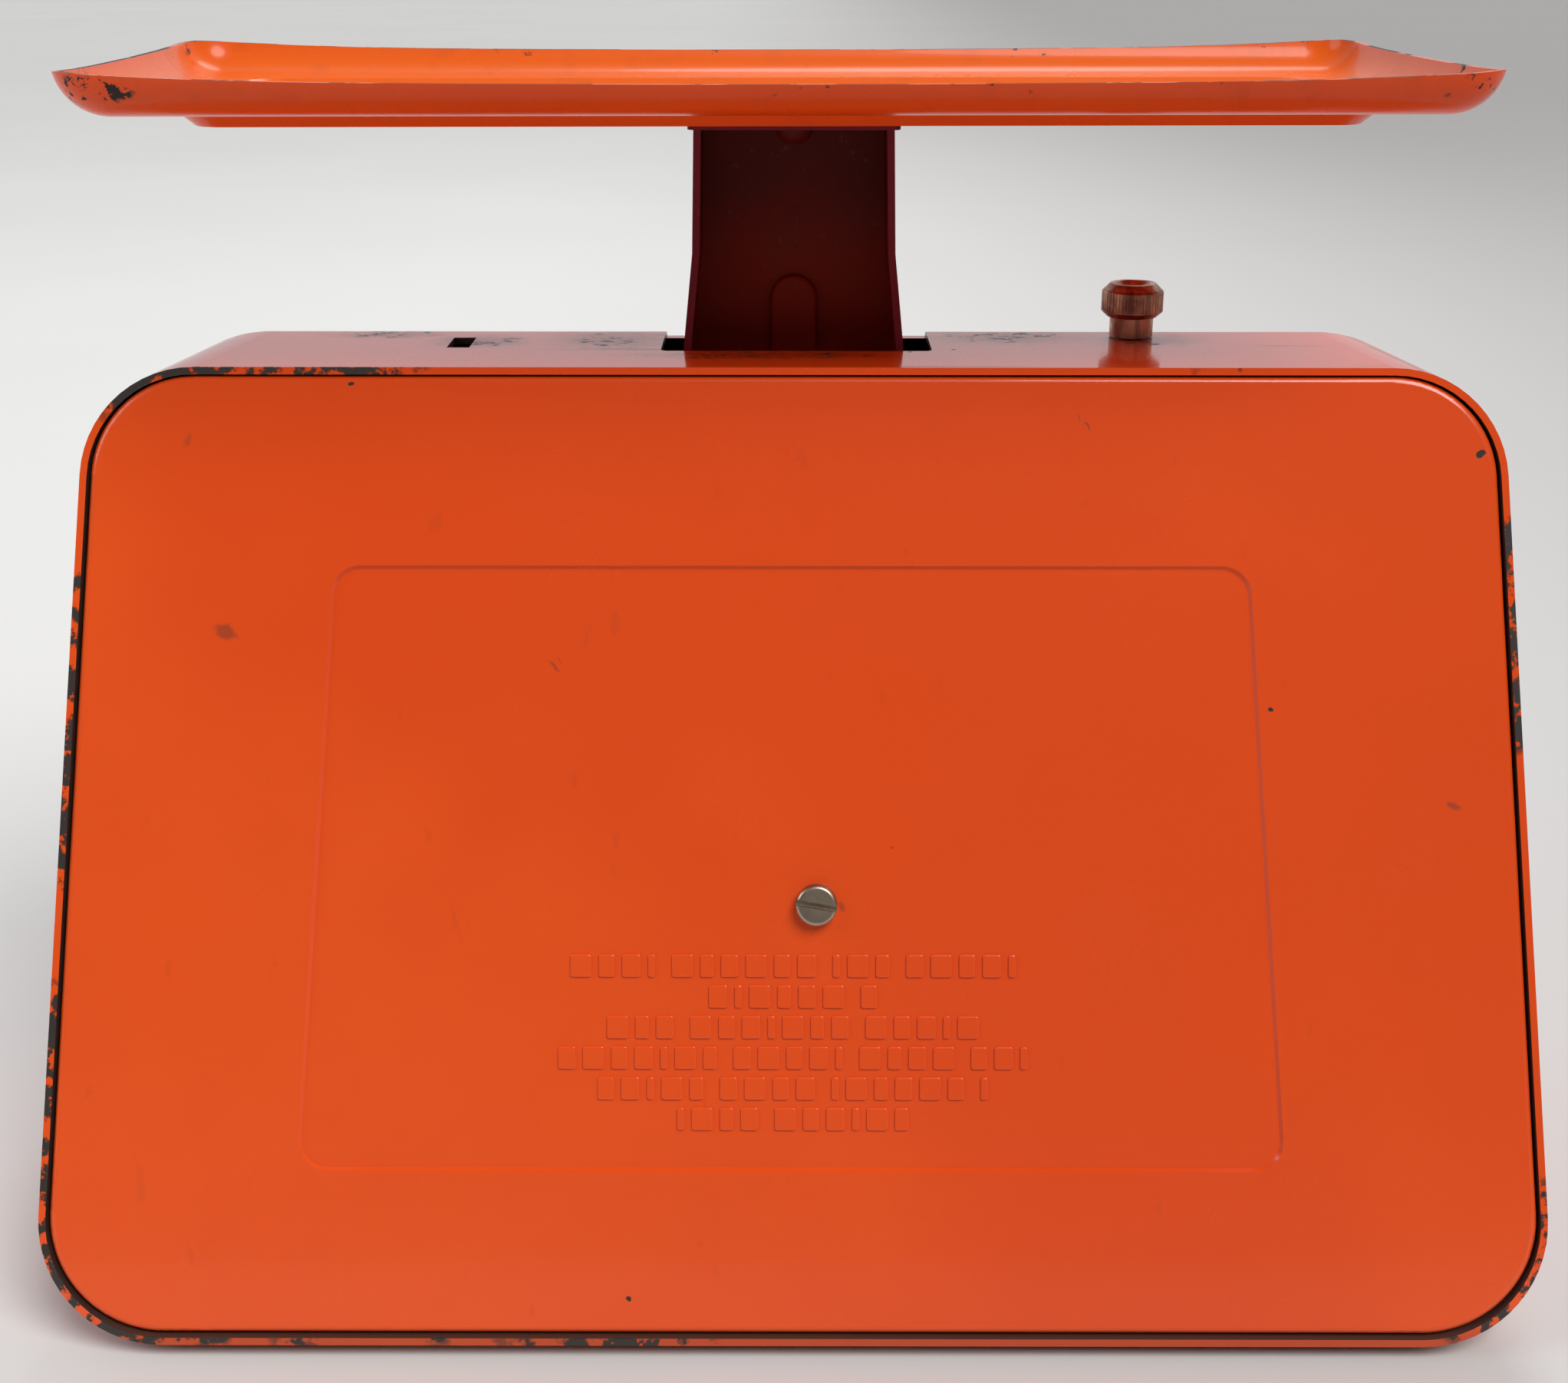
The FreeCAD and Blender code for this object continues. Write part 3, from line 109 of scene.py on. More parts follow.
# Wear along the rear rim: centre, half width along X, Y and Z, and how much it adds,
# or takes away where it is negative.
RIM_WEAR = (
    ((0.104, 0.015, 0.139), (0.018, 0.03, 0.018), 0.14),
    ((0.075, 0.010, 0.151), (0.030, 0.02, 0.010), 0.10),
    ((0.114, 0.025, 0.098), (0.012, 0.04, 0.034), 0.20),
    ((0.119, 0.045, 0.045), (0.012, 0.04, 0.030), 0.10),
    ((-0.112, 0.022, 0.112), (0.012, 0.04, 0.024), 0.24),
    ((-0.110, 0.054, 0.010), (0.018, 0.03, 0.014), 0.18),
    ((-0.100, 0.012, 0.146), (0.016, 0.03, 0.012), -0.20),
    ((-0.118, 0.040, 0.055), (0.012, 0.04, 0.034), -0.12),
    ((0.060, 0.056, 0.002), (0.045, 0.02, 0.012), -0.07),
)
# Stains on the casing top: centre and half width along X, Y and Z.
TOP_STAINS = (
    ((0.030, -0.014, TOP_Z), (0.016, 0.012, 0.01)),
    ((0.052, -0.012, TOP_Z), (0.012, 0.008, 0.01)),
    ((-0.036, -0.016, TOP_Z), (0.020, 0.009, 0.01)),
    ((-0.060, -0.014, TOP_Z), (0.012, 0.009, 0.01)),
    ((0.005, 0.000, TOP_Z), (0.030, 0.004, 0.01)),
    ((0.068, -0.018, TOP_Z), (0.016, 0.005, 0.01)),
)
# Marks on the back cover in millimetres: (X, Z), half width and height, tilt in radians,
# and strength.  From KNOCK_STRENGTH up a mark is bare metal, below that a smudge.
KNOCK_STRENGTH = 0.9
COVER_SMUDGES = (
    ((89.2, 111.0), (2.4, 1.2), 0.3, 0.55),
    ((-104.1, 85.2), (1.5, 0.9), 0.6, 0.55),
    ((-107.5, 137.9), (1.0, 0.6), -0.6, 0.9),
    ((94.9, 139.7), (0.7, 1.6), 0.4, 0.30),
    ((69.1, 148.3), (0.6, 0.4), 0.0, 0.9),
    ((26.0, 9.8), (0.5, 0.5), 0.0, 0.9),
    ((-75.2, 99.6), (0.5, 0.4), 0.0, 0.9),
    ((-46.0, 142.0), (0.25, 1.2), -0.55, 0.7),
    ((-44.6, 143.4), (0.25, 0.9), -0.35, 0.5),
    ((37.9, 105.9), (0.35, 1.5), -0.9, 0.5),
    ((36.8, 106.9), (0.25, 1.2), -0.5, 0.45),
    ((-7.7, 69.4), (0.5, 1.3), -0.6, 0.45),
)


# ---------------------------------------------------------------- materials

class Graph:
    """One procedural material, with short calls for the nodes used here."""

    def __init__(self, name):
        self.material = bpy.data.materials.new(name)
        self.material.use_nodes = True
        self.tree = self.material.node_tree
        self.shader = self.tree.nodes["Principled BSDF"]
        self.here = self.tree.nodes.new("ShaderNodeTexCoord").outputs["Object"]

    def node(self, kind, **settings):
        made = self.tree.nodes.new(kind)
        for key, value in settings.items():
            setattr(made, key, value)
        return made

    def feed(self, socket, value):
        if isinstance(value, bpy.types.NodeSocket):
            self.tree.links.new(value, socket)
        elif isinstance(value, (tuple, list, Vector)) and len(value) == 3 and socket.type == "RGBA":
            socket.default_value = (*value, 1.0)
        else:
            socket.default_value = value

    def calc(self, operation, a, b, c=0.0):
        made = self.node("ShaderNodeMath", operation=operation)
        for socket, value in zip(made.inputs, (a, b, c)):
            self.feed(socket, value)
        return made.outputs[0]

    def vector(self, operation, a, b=(0, 0, 0), out=0):
        made = self.node("ShaderNodeVectorMath", operation=operation)
        self.feed(made.inputs[0], a)
        self.feed(made.inputs[1], b)
        return made.outputs[out]

    def step(self, value, low, high):
        """0 below low and 1 above high, eased between them; low may exceed high."""
        made = self.node("ShaderNodeMapRange", interpolation_type="SMOOTHSTEP")
        self.feed(made.inputs["Value"], value)
        first, last = (0.0, 1.0) if low < high else (1.0, 0.0)
        self.feed(made.inputs["From Min"], min(low, high))
        self.feed(made.inputs["From Max"], max(low, high))
        self.feed(made.inputs["To Min"], first)
        self.feed(made.inputs["To Max"], last)
        return made.outputs[0]

    def noise(self, scale, detail=2.0, rough=0.5, shift=0.0, stretch=(1, 1, 1)):
        where = self.vector("MULTIPLY", self.here, stretch)
        where = self.vector("ADD", where, (shift, shift * 0.7, -shift * 0.4))
        made = self.node("ShaderNodeTexNoise")
        self.feed(made.inputs["Vector"], where)
        self.feed(made.inputs["Scale"], scale)
        self.feed(made.inputs["Detail"], detail)
        self.feed(made.inputs["Roughness"], rough)
        return made.outputs["Fac"]

    def cells(self, scale, shift):
        where = self.vector("ADD", self.here, (shift, -shift, shift * 0.3))
        made = self.node("ShaderNodeTexVoronoi")
        self.feed(made.inputs["Vector"], where)
        self.feed(made.inputs["Scale"], scale)
        return made.outputs["Distance"]

    def mix(self, amount, a, b):
        made = self.node("ShaderNodeMix", data_type="RGBA")
        self.feed(made.inputs["Factor"], amount)
        self.feed(made.inputs["A"], a)
        self.feed(made.inputs["B"], b)
        return made.outputs["Result"]

    def coordinate(self, axis):
        split = self.node("ShaderNodeSeparateXYZ")
        self.feed(split.inputs[0], self.here)
        return split.outputs[axis]

    def depth(self, plane):
        """Signed distance outside a plane given as (normal, offset)."""
        along = self.vector("DOT_PRODUCT", self.here, tuple(plane[0]), out=1)
        return self.calc("SUBTRACT", along, plane[1])

    def spot(self, centre, size, soft=0.5, warp=0.0, tilt=0.0):
        """Soft elliptical patch; size is its half width along X, Y and Z."""
        where = self.here
        if warp:
            wobble = self.node("ShaderNodeTexNoise")
            self.feed(wobble.inputs["Vector"], self.here)
            self.feed(wobble.inputs["Scale"], 420.0)
            self.feed(wobble.inputs["Detail"], 3.0)
            push = self.vector("SUBTRACT", wobble.outputs["Color"], (0.5, 0.5, 0.5))
            push = self.vector("MULTIPLY", push, (warp, warp, warp))
            where = self.vector("ADD", where, push)
        offset = self.vector("SUBTRACT", where, tuple(centre))
        if tilt:
            turn = self.node("ShaderNodeVectorRotate", rotation_type="Y_AXIS")
            self.feed(turn.inputs["Vector"], offset)
            self.feed(turn.inputs["Angle"], tilt)
            offset = turn.outputs[0]
        scaled = self.vector("DIVIDE", offset, tuple(size))
        length = self.vector("LENGTH", scaled, out=1)
        return self.step(length, 1.0, 1.0 - soft)

    def most(self, *values):
        total = values[0]
        for value in values[1:]:
            total = self.calc("MAXIMUM", total, value)
        return total

    def times(self, *values):
        total = values[0]
        for value in values[1:]:
            total = self.calc("MULTIPLY", total, value)
        return total

    def facing(self, direction):
        """How far the surface faces a direction in the row frame, 1 at best."""
        normal = self.node("ShaderNodeTexCoord").outputs["Normal"]
        return self.vector("DOT_PRODUCT", normal, direction, out=1)

    def inward(self, middle):
        """1 on faces that look towards a point inside the shell."""
        away = self.vector("SUBTRACT", self.here, middle)
        normal = self.node("ShaderNodeTexCoord").outputs["Normal"]
        return self.step(self.vector("DOT_PRODUCT", away, normal, out=1), 0.0, -2.0 * MM)

    def bump(self, height, strength, distance):
        made = self.node("ShaderNodeBump")
        made.inputs["Strength"].default_value = strength
        made.inputs["Distance"].default_value = distance
        self.feed(made.inputs["Height"], height)
        self.feed(self.shader.inputs["Normal"], made.outputs[0])

    def set(self, **values):
        for key, value in values.items():
            self.feed(self.shader.inputs[key.replace("_", " ")], value)


def lacquer(name, wear, marks, gloss, inner, shine=0.5):
    """Glossy stoved lacquer; wear gives the chip mask and marks a stain mask, which on the casing also holds
    painted shade along its foot.

    inner is (middle, colour, dullness) for the faces that look towards middle; its colour is painted shade
    inside the casing and painted light inside the tray.
    """
    g = Graph(name)
    broad = g.step(g.noise(9.0, 3.0, 0.55, 1.3), 0.35, 0.68)
    colour = g.mix(broad, ORANGE_DEEP, ORANGE)
    fine = g.step(g.noise(95.0, 4.0, 0.6, 4.1), 0.42, 0.72)
    colour = g.mix(g.times(fine, 0.16), colour, ORANGE_DEEP)
    if inner:
        # Inward faces take the colour of inner: painted shade in the casing, painted light in the tray.
        inside = g.inward(inner[0])
        colour = g.mix(inside, colour, inner[1])
    # Stains and scratches; on the casing also painted shade along its foot.
    grime_and_shade = marks(g)
    colour = g.mix(grime_and_shade, colour, RUST_AND_SHADE)
    chips = wear(g)
    halo = g.step(chips, 0.05, 0.45)
    colour = g.mix(g.times(halo, 0.75), colour, RUST_AND_SHADE)
    bare = g.step(chips, 0.45, 0.6)
    colour = g.mix(bare, colour, BARE)
    smear = g.noise(26.0, 4.0, 0.6, 7.7)
    rough = g.calc("MULTIPLY_ADD", smear, 0.12, gloss - 0.04)
    rough = g.calc("MULTIPLY_ADD", bare, 0.42, rough)
    rough = g.calc("MULTIPLY_ADD", grime_and_shade, 0.25, rough)
    if inner:
        rough = g.calc("MULTIPLY_ADD", inside, inner[2], rough)
    g.set(Base_Color=colour, Roughness=rough)
    g.set(IOR=1.50, Specular_IOR_Level=shine, Coat_Weight=0.7 * shine, Coat_Roughness=0.04)
    peel = g.noise(520.0, 2.0, 0.5, 2.2)
    ripple = g.noise(60.0, 1.0, 0.5, 9.2)
    height = g.calc("MULTIPLY_ADD", ripple, 2.2, peel)
    height = g.calc("MULTIPLY_ADD", bare, -1.6, height)
    g.bump(height, 0.22, 0.00006)
    return g.material


def scattered(g, scale, shift, size, share):
    """Small round specks, kept only where a slow noise is high."""
    speck = g.step(g.cells(scale, shift), size, size * 0.55)
    region = g.step(g.noise(scale * 0.17, 2.0, 0.6, shift), 1.0 - share, 1.04 - share)
    return g.times(speck, region)


def casing_wear(g):
    """Chips along the rear rim, small specks, and dark crumbs in the stains on the top."""
    ragged = g.noise(310.0, 4.0, 0.62, 3.0)
    depth = g.depth(CASING_REAR)
    edge = g.calc("MULTIPLY_ADD", ragged, 2.2 * MM, depth)
    rim = g.step(edge, 0.92 * MM, 1.22 * MM)
    patch = g.noise(24.0, 3.0, 0.55, RIM_SEED)
    added = 0.0
    for centre, size, amount in RIM_WEAR:
        added = g.calc("ADD", added, g.times(g.spot(centre, size, 0.6), amount))
    patch = g.calc("ADD", patch, added)
    rim = g.times(rim, g.step(patch, 0.56, 0.63))
    specks = scattered(g, 260.0, 5.0, 0.16, 0.36)
    around = []
    for centre, size in TOP_STAINS:
        around.append(g.spot(centre, size, 0.8, 4.0 * MM))
    crumbs = g.step(g.noise(900.0, 4.0, 0.7, 1.0, (0.55, 1.0, 1.0)), 0.51, 0.57)
    stained = g.times(g.most(*around), crumbs, g.step(g.noise(130.0, 3.0, 0.6, 6.0), 0.40, 0.55))
    up = g.step(g.facing((0, 0, 1)), 0.90, 0.97)
    stained = g.times(stained, up, 0.9)
    return g.most(rim, g.times(specks, 0.75), stained)


def casing_marks(g):
    """Brown film and hairline scratches on the casing top, and painted shade darkening its foot."""
    up = g.step(g.facing((0, 0, 1)), 0.90, 0.97)
    film = []
    for centre, size in TOP_STAINS:
        film.append(g.spot(centre, size, 0.9, 6.0 * MM))
    film = g.times(g.most(*film), up, 0.55)
    scratch = g.noise(420.0, 3.0, 0.5, 8.0, (0.05, 1.0, 1.0))
    hairs = g.times(g.step(scratch, 0.66, 0.70), up, 0.5)
    # Painted shade: the casing darkens towards its bottom edge.
    foot = g.times(g.step(g.coordinate("Z"), 8.0 * MM, 3.0 * MM), 0.42)
    return g.most(film, hairs, foot)


def rear_spot(x, z):
    """Point on the back cover's face at that X and Z."""
    normal, offset = REAR
    return Vector((x, (offset - normal.z * z) / normal.y, z))


def cover_wear(g):
    """Specks where the lacquer has been knocked off the back cover."""
    specks = scattered(g, 95.0, 2.7, 0.045, 0.37)
    hard = []
    for (x, z), (a, b), tilt, amount in COVER_SMUDGES:
        if amount >= KNOCK_STRENGTH:
            size = (a * MM, 4.0 * MM, b * MM)
            hard.append(g.spot(rear_spot(x * MM, z * MM), size, 0.5, 1.2 * MM, tilt))
    return g.most(g.times(specks, 0.8), *hard)


def cover_marks(g):
    """Brown smudges and short scratches on the back cover."""
    found = []
    for (x, z), (a, b), tilt, amount in COVER_SMUDGES:
        if amount < KNOCK_STRENGTH:
            size = (a * MM, 6.0 * MM, b * MM)
            spot = g.spot(rear_spot(x * MM, z * MM), size, 0.6, 2.2 * MM, tilt)
            found.append(g.times(spot, amount))
    streak = g.noise(300.0, 2.0, 0.5, 3.3, (1.0, 1.0, 0.04))
    streaks = g.times(g.step(streak, 0.70, 0.76), 0.10)
    return g.most(streaks, *found)


def tray_wear(g):
    """Bare metal along the tray's thin rim and stains in one end of its wall."""
    height = g.coordinate("Z")
    up = g.step(g.facing((0, 0, 1)), 0.55, 0.9)
    lip = g.times(up, g.step(height, TRAY_TOP - 3.4 * MM, TRAY_TOP - 2.6 * MM))
    patch = g.step(g.noise(58.0, 4.0, 0.65, 4.4), 0.45, 0.52)
    rim = g.times(lip, patch, 0.95)
    near = g.step(height, TRAY_TOP - 4.2 * MM, TRAY_TOP - 2.4 * MM)
    ragged = g.step(g.noise(330.0, 4.0, 0.65, 1.1), 0.60, 0.66)
    below = g.times(near, ragged, g.step(g.noise(40.0, 2.0, 0.5, 6.2), 0.52, 0.6), 0.8)
    end = g.spot((0.0965, 0.037, TRAY_TOP - 2.4 * MM), (0.007, 0.014, 0.0026), 0.6, 0.003)
    blots = g.times(end, g.step(g.noise(420.0, 4.0, 0.7, 2.0), 0.50, 0.56))
    specks = scattered(g, 210.0, 8.0, 0.13, 0.34)
    return g.most(rim, below, blots, g.times(specks, 0.7))


def tray_marks(g):
    """Thin brown film on the tray's ends."""
    end = g.spot((0.100, 0.028, TRAY_TOP - 4.0 * MM), (0.016, 0.020, 0.006), 0.8, 0.006)
    film = g.step(g.noise(140.0, 4.0, 0.65, 5.0), 0.52, 0.72)
    return g.most(g.times(end, film, 0.8), g.times(film, 0.10))


def metal(name, colour, dull, rough, grain, grain_scale, tarnish, stretch=(1, 1, 1)):
    """Plated or bare metal with fine grain and cloudy tarnish."""
    g = Graph(name)
    cloud = g.step(g.noise(120.0, 4.0, 0.6, 3.1), 0.38, 0.70)
    shade = g.mix(g.times(cloud, tarnish), colour, dull)
    streaks = g.noise(grain_scale, 3.0, 0.6, 1.7, stretch)
    shade = g.mix(g.times(g.step(streaks, 0.45, 0.75), 0.25), shade, dull)
    g.set(Base_Color=shade, Metallic=1.0)
    g.set(Roughness=g.calc("MULTIPLY_ADD", cloud, 0.25, rough))
    g.bump(streaks, grain, 0.00003)
    return g.material


def stem_lacquer():
    """Dark maroon lacquer, redder along the folded edges, with painted reflected light making it brighter and
    redder towards its foot.
    """
    g = Graph("maroon_lacquer")
    cloud = g.step(g.noise(46.0, 4.0, 0.6, 2.0), 0.35, 0.7)
    shade = g.mix(cloud, MAROON, MAROON_LIGHT)
    # Painted reflected light: the stem gets brighter and redder towards its foot.
    low = g.step(g.coordinate("Z"), STEM_HIGH.z - 8.0 * MM, STEM_HIGH.z - 34.0 * MM)
    shade = g.mix(g.times(low, 0.8), shade, MAROON_PAINTED_BOUNCE)
    rear = g.step(g.facing((0, 1, 0)), 0.8, 0.95)
    fold = g.step(g.coordinate("Y"), STEM_HIGH.y - 0.6 * MM, STEM_HIGH.y - 0.2 * MM)
    shade = g.mix(g.times(rear, fold), shade, MAROON_FOLD)
    dust = g.step(g.noise(600.0, 3.0, 0.7, 5.0), 0.62, 0.70)
    shade = g.mix(g.times(dust, 0.35), shade, DUST)
    g.set(Base_Color=shade, Roughness=g.calc("MULTIPLY_ADD", cloud, 0.15, 0.5))
    g.set(Specular_IOR_Level=0.12)
    g.bump(g.noise(380.0, 3.0, 0.6, 1.0), 0.25, 0.00008)
    return g.material



def plain(name, colour, other, rough, scale, bump=0.15, sheen=0.0):
    """Moulded or printed surface with mild variation in tone and texture."""
    g = Graph(name)
    cloud = g.step(g.noise(scale, 4.0, 0.6, 3.6), 0.3, 0.75)
    g.set(Base_Color=g.mix(cloud, colour, other))
    g.set(Roughness=g.calc("MULTIPLY_ADD", cloud, 0.12, rough))
    if sheen:
        g.set(Sheen_Weight=sheen)
    g.bump(g.noise(scale * 14.0, 3.0, 0.6, 2.1), bump, 0.00005)
    return g.material


def lens_material():
    """Clear pressed pane with faint dust in its gloss."""
    g = Graph("clear_pane")
    haze = g.noise(85.0, 4.0, 0.6, 2.0)
    g.set(Base_Color=g.mix(g.times(haze, 0.08), (0.98, 0.99, 0.99), (0.90, 0.92, 0.90)))
    g.set(Transmission_Weight=1.0, IOR=1.46)
    g.set(Roughness=g.calc("MULTIPLY", g.step(haze, 0.5, 0.9), 0.05))
    return g.material


def knob_brass():
    """Tarnished brass with dirt left in the knurling."""
    g = Graph("knob_brass")
    low, high = corner_box("zero_knob")
    axis = ((low.x + high.x) / 2, (low.y + high.y) / 2, 0.0)
    radius = (high.x - low.x) / 2
    offset = g.vector("SUBTRACT", g.here, axis)
    offset = g.vector("MULTIPLY", offset, (1, 1, 0))
    reach = g.vector("LENGTH", offset, out=1)
    height = g.coordinate("Z")
    above_neck = g.step(height, high.z - 4.2 * MM, high.z - 3.9 * MM)
    below_rim = g.step(height, high.z - 0.9 * MM, high.z - 1.2 * MM)
    head = g.times(above_neck, below_rim)
    groove = g.times(head, g.step(reach, radius - 0.08 * MM, radius - 0.26 * MM))
    cloud = g.step(g.noise(240.0, 4.0, 0.6, 3.1), 0.35, 0.70)
    shade = g.mix(cloud, (0.62, 0.35, 0.23), (0.28, 0.120, 0.080))
    streaks = g.step(g.noise(700.0, 3.0, 0.6, 1.7, (1, 1, 0.08)), 0.42, 0.62)
    shade = g.mix(g.times(streaks, 0.55), shade, (0.13, 0.045, 0.030))
    shade = g.mix(groove, shade, (0.030, 0.011, 0.008))
    g.set(Base_Color=shade, Metallic=1.0, Roughness=g.calc("MULTIPLY_ADD", cloud, 0.2, 0.3))
    g.bump(streaks, 0.2, 0.00003)
    return g.material


ZINC = metal("zinc_plate", (0.50, 0.50, 0.48), (0.22, 0.21, 0.19), 0.34, 0.3, 260.0, 0.7, (1, 1, 0.1))
NICKEL = metal("aged_nickel", (0.46, 0.37, 0.28), (0.17, 0.115, 0.080), 0.28, 0.3, 500.0, 0.8)
SPRING = metal("spring_steel", (0.30, 0.30, 0.31), (0.10, 0.09, 0.09), 0.30, 0.2, 700.0, 0.6)
BRASS = metal("tarnished_brass", (0.50, 0.275, 0.175), (0.150, 0.055, 0.038), 0.34, 0.3, 420.0, 0.9)

# Inward faces: painted shade inside the casing, painted light inside the tray.
CASING_INSIDE_PAINTED_SHADE = (SHELL_MIDDLE, INSIDE_PAINTED_SHADE, 0.45)
TRAY_INSIDE_PAINTED_LIGHT = (TRAY_MIDDLE, ORANGE_PAINTED_LIGHT, 0.0)
finish_by_slot = {
    "orange_lacquer": lacquer("orange_casing", casing_wear, casing_marks, 0.13, CASING_INSIDE_PAINTED_SHADE),
    "stem_lacquer": stem_lacquer(),
    "zinc_steel": ZINC,
    "nickel_steel": NICKEL,
    "spring_steel": SPRING,
    "aged_brass": BRASS,
    "needle_lacquer": plain("needle_black", (0.012, 0.012, 0.013), (0.022, 0.021, 0.020), 0.30, 90.0),
    "clear_lens": lens_material(),
    "frame_plastic": plain("ivory_plastic", (0.78, 0.75, 0.66), (0.70, 0.66, 0.55), 0.42, 40.0),
    "dial_enamel": plain("dial_enamel", (0.84, 0.82, 0.74), (0.78, 0.74, 0.63), 0.30, 16.0, 0.08),
    "black_rubber": plain("black_rubber", (0.018, 0.018, 0.018), (0.035, 0.033, 0.030), 0.62, 70.0, 0.5, 0.2),
}
own_finish = {
    "window_bezel": metal("bezel_plate", (0.60, 0.58, 0.54), (0.36, 0.33, 0.28), 0.20, 0.1, 300.0, 0.5),
    "zero_knob": knob_brass(),
    "back_cover": lacquer("orange_cover", cover_wear, cover_marks, 0.24, None, 0.42),
    "tray": lacquer("orange_tray", tray_wear, tray_marks, 0.26, TRAY_INSIDE_PAINTED_LIGHT, 0.2),
}


def add_object(name, data):
    made = bpy.data.objects.new(name, data)
    bpy.context.scene.collection.objects.link(made)
    return made


def dress(thing, material):
    thing.data.materials.clear()
    thing.data.materials.append(material)


def row_joint(name):
    return next(joint for joint in frame["record"]["behaviour"]["joints"] if joint["name"] == name)


slot_of = {entry["node"]: entry["material_slot"] for entry in frame["record"]["subparts"]}
for name, thing in nodes.items():
    dress(thing, own_finish.get(name, finish_by_slot[slot_of[name]]))


# ---------------------------------------------------------------- the dial

out = FACE[0]
side = Vector((1, 0, 0))
rise = out.cross(side).normalized()
pivot = Vector(row_joint("pointer_spin")["pos_m"])
pivot = pivot + out * (FACE[1] - pivot.dot(out))
SWEEP = 150.0
FULL_SCALE = 5
STEPS_PER_UNIT = 20
PRINT_LIFT = 0.03 * MM
PRINT_THICKNESS = 0.04 * MM
TICK_OUTER = 60.0 * MM
UNIT_TICK = (7.0 * MM, 0.9 * MM)
HALF_TICK = (5.5 * MM, 0.6 * MM)
TENTH_TICK = (4.0 * MM, 0.35 * MM)
FINE_TICK = (2.4 * MM, 0.3 * MM)
ARC_INNER = TICK_OUTER + 0.4 * MM
ARC_OUTER = TICK_OUTER + 0.9 * MM
ARC_STEPS = 100
NUMERAL_RADIUS = 46.5 * MM
NUMERAL_HEIGHT = 10.5 * MM
UNIT_RADIUS = 25.0 * MM
UNIT_HEIGHT = 9.0 * MM
NUMERAL_EXTRUDE = 0.02 * MM


def dial_point(radius, degrees, lift=PRINT_LIFT):
    """Point on the dial face; degrees run clockwise from straight up."""
    a = math.radians(degrees)
    return pivot + side * (radius * math.sin(a)) + rise * (radius * math.cos(a)) + out * lift


def new_piece(name, build, material):
    mesh = bpy.data.meshes.new(name)
    shape = bmesh.new()
    build(shape)
    bmesh.ops.recalc_face_normals(shape, faces=shape.faces)
    shape.to_mesh(mesh)
    shape.free()
    piece = add_object(name, mesh)
    dress(piece, material)
    return piece


def slab(shape, corners):
    """Thin closed slab of print from four corners on the dial face."""
    top = [shape.verts.new(c + out * PRINT_THICKNESS) for c in corners]
    bottom = [shape.verts.new(c) for c in corners]
    shape.faces.new(top)
    shape.faces.new(bottom[::-1])
    for i in range(4):
        j = (i + 1) % 4
        shape.faces.new((top[i], bottom[i], bottom[j], top[j]))


def tick_size(step):
    """(length, width) of the tick at a step of the scale."""
    if step % STEPS_PER_UNIT == 0:
        return UNIT_TICK
    if step % (STEPS_PER_UNIT // 2) == 0:
        return HALF_TICK
    if step % 2 == 0:
        return TENTH_TICK
    return FINE_TICK


def scale_angle(share):
    """Degrees from straight up at a share of the full scale."""
    return -SWEEP / 2 + SWEEP * share


def print_scale(shape):
    """All ticks of the scale and the arc outside them."""
    count = FULL_SCALE * STEPS_PER_UNIT
    for i in range(count + 1):
        angle = scale_angle(i / count)
        length, width = tick_size(i)
        a = math.radians(angle)
        across = side * math.cos(a) - rise * math.sin(a)
        outer = dial_point(TICK_OUTER, angle)
        inner = dial_point(TICK_OUTER - length, angle)
        half = across * (width / 2)
        slab(shape, (inner - half, inner + half, outer + half, outer - half))
    for i in range(ARC_STEPS):
        a = scale_angle(i / ARC_STEPS)
        b = scale_angle((i + 1) / ARC_STEPS)
        slab(shape, (dial_point(ARC_INNER, a), dial_point(ARC_INNER, b),
                     dial_point(ARC_OUTER, b), dial_point(ARC_OUTER, a)))


INK = plain("printed_ink", (0.020, 0.018, 0.018), (0.035, 0.030, 0.028), 0.45, 120.0)
ticks = new_piece("dial_ticks", print_scale, INK)
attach(ticks, "casing")

face_axes = Matrix((side, rise, out)).transposed().to_4x4()


def numeral(name, text, centre, height):
    """Flat raised lettering on the dial face."""
    curve = bpy.data.curves.new(name, "FONT")
    curve.body = text
    curve.size = height
    curve.align_x = "CENTER"
    curve.align_y = "CENTER"
    curve.extrude = NUMERAL_EXTRUDE
    curve.resolution_u = 4
    carrier = add_object(name, curve)
    bpy.context.view_layer.update()
    mesh = bpy.data.meshes.new_from_object(carrier)
    bpy.data.objects.remove(carrier)
    mesh.transform(Matrix.Translation(centre + out * NUMERAL_EXTRUDE) @ face_axes)
    piece = add_object(name, mesh)
    dress(piece, INK)
    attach(piece, "casing")


for unit in range(FULL_SCALE + 1):
    centre = dial_point(NUMERAL_RADIUS, scale_angle(unit / FULL_SCALE))
    numeral("dial_numeral_%d" % unit, str(unit), centre, NUMERAL_HEIGHT)
numeral("dial_unit", "kg", dial_point(UNIT_RADIUS, 0.0), UNIT_HEIGHT)


# ---------------------------------------------------------------- the spring

spring_low, spring_high = corner_box("main_spring")
spring_axis = (spring_low + spring_high) / 2
pin_low, pin_high = corner_box("hanger_pin")
hanger_travel = row_joint("hanger_slide")["range_m"][1]
WIRE = 0.7 * MM
COIL_TURNS = 17
TURN_STEPS = 20
HOOK = 6.5 * MM
EYE_LOW = 2.4 * MM
EYE_HIGH = 2.1 * MM
EYE_STEPS = 17
EYE_ARC = 290
LOOP_ROOM = 0.15 * MM
TAPER = 14.0
TAPER_START = 0.25


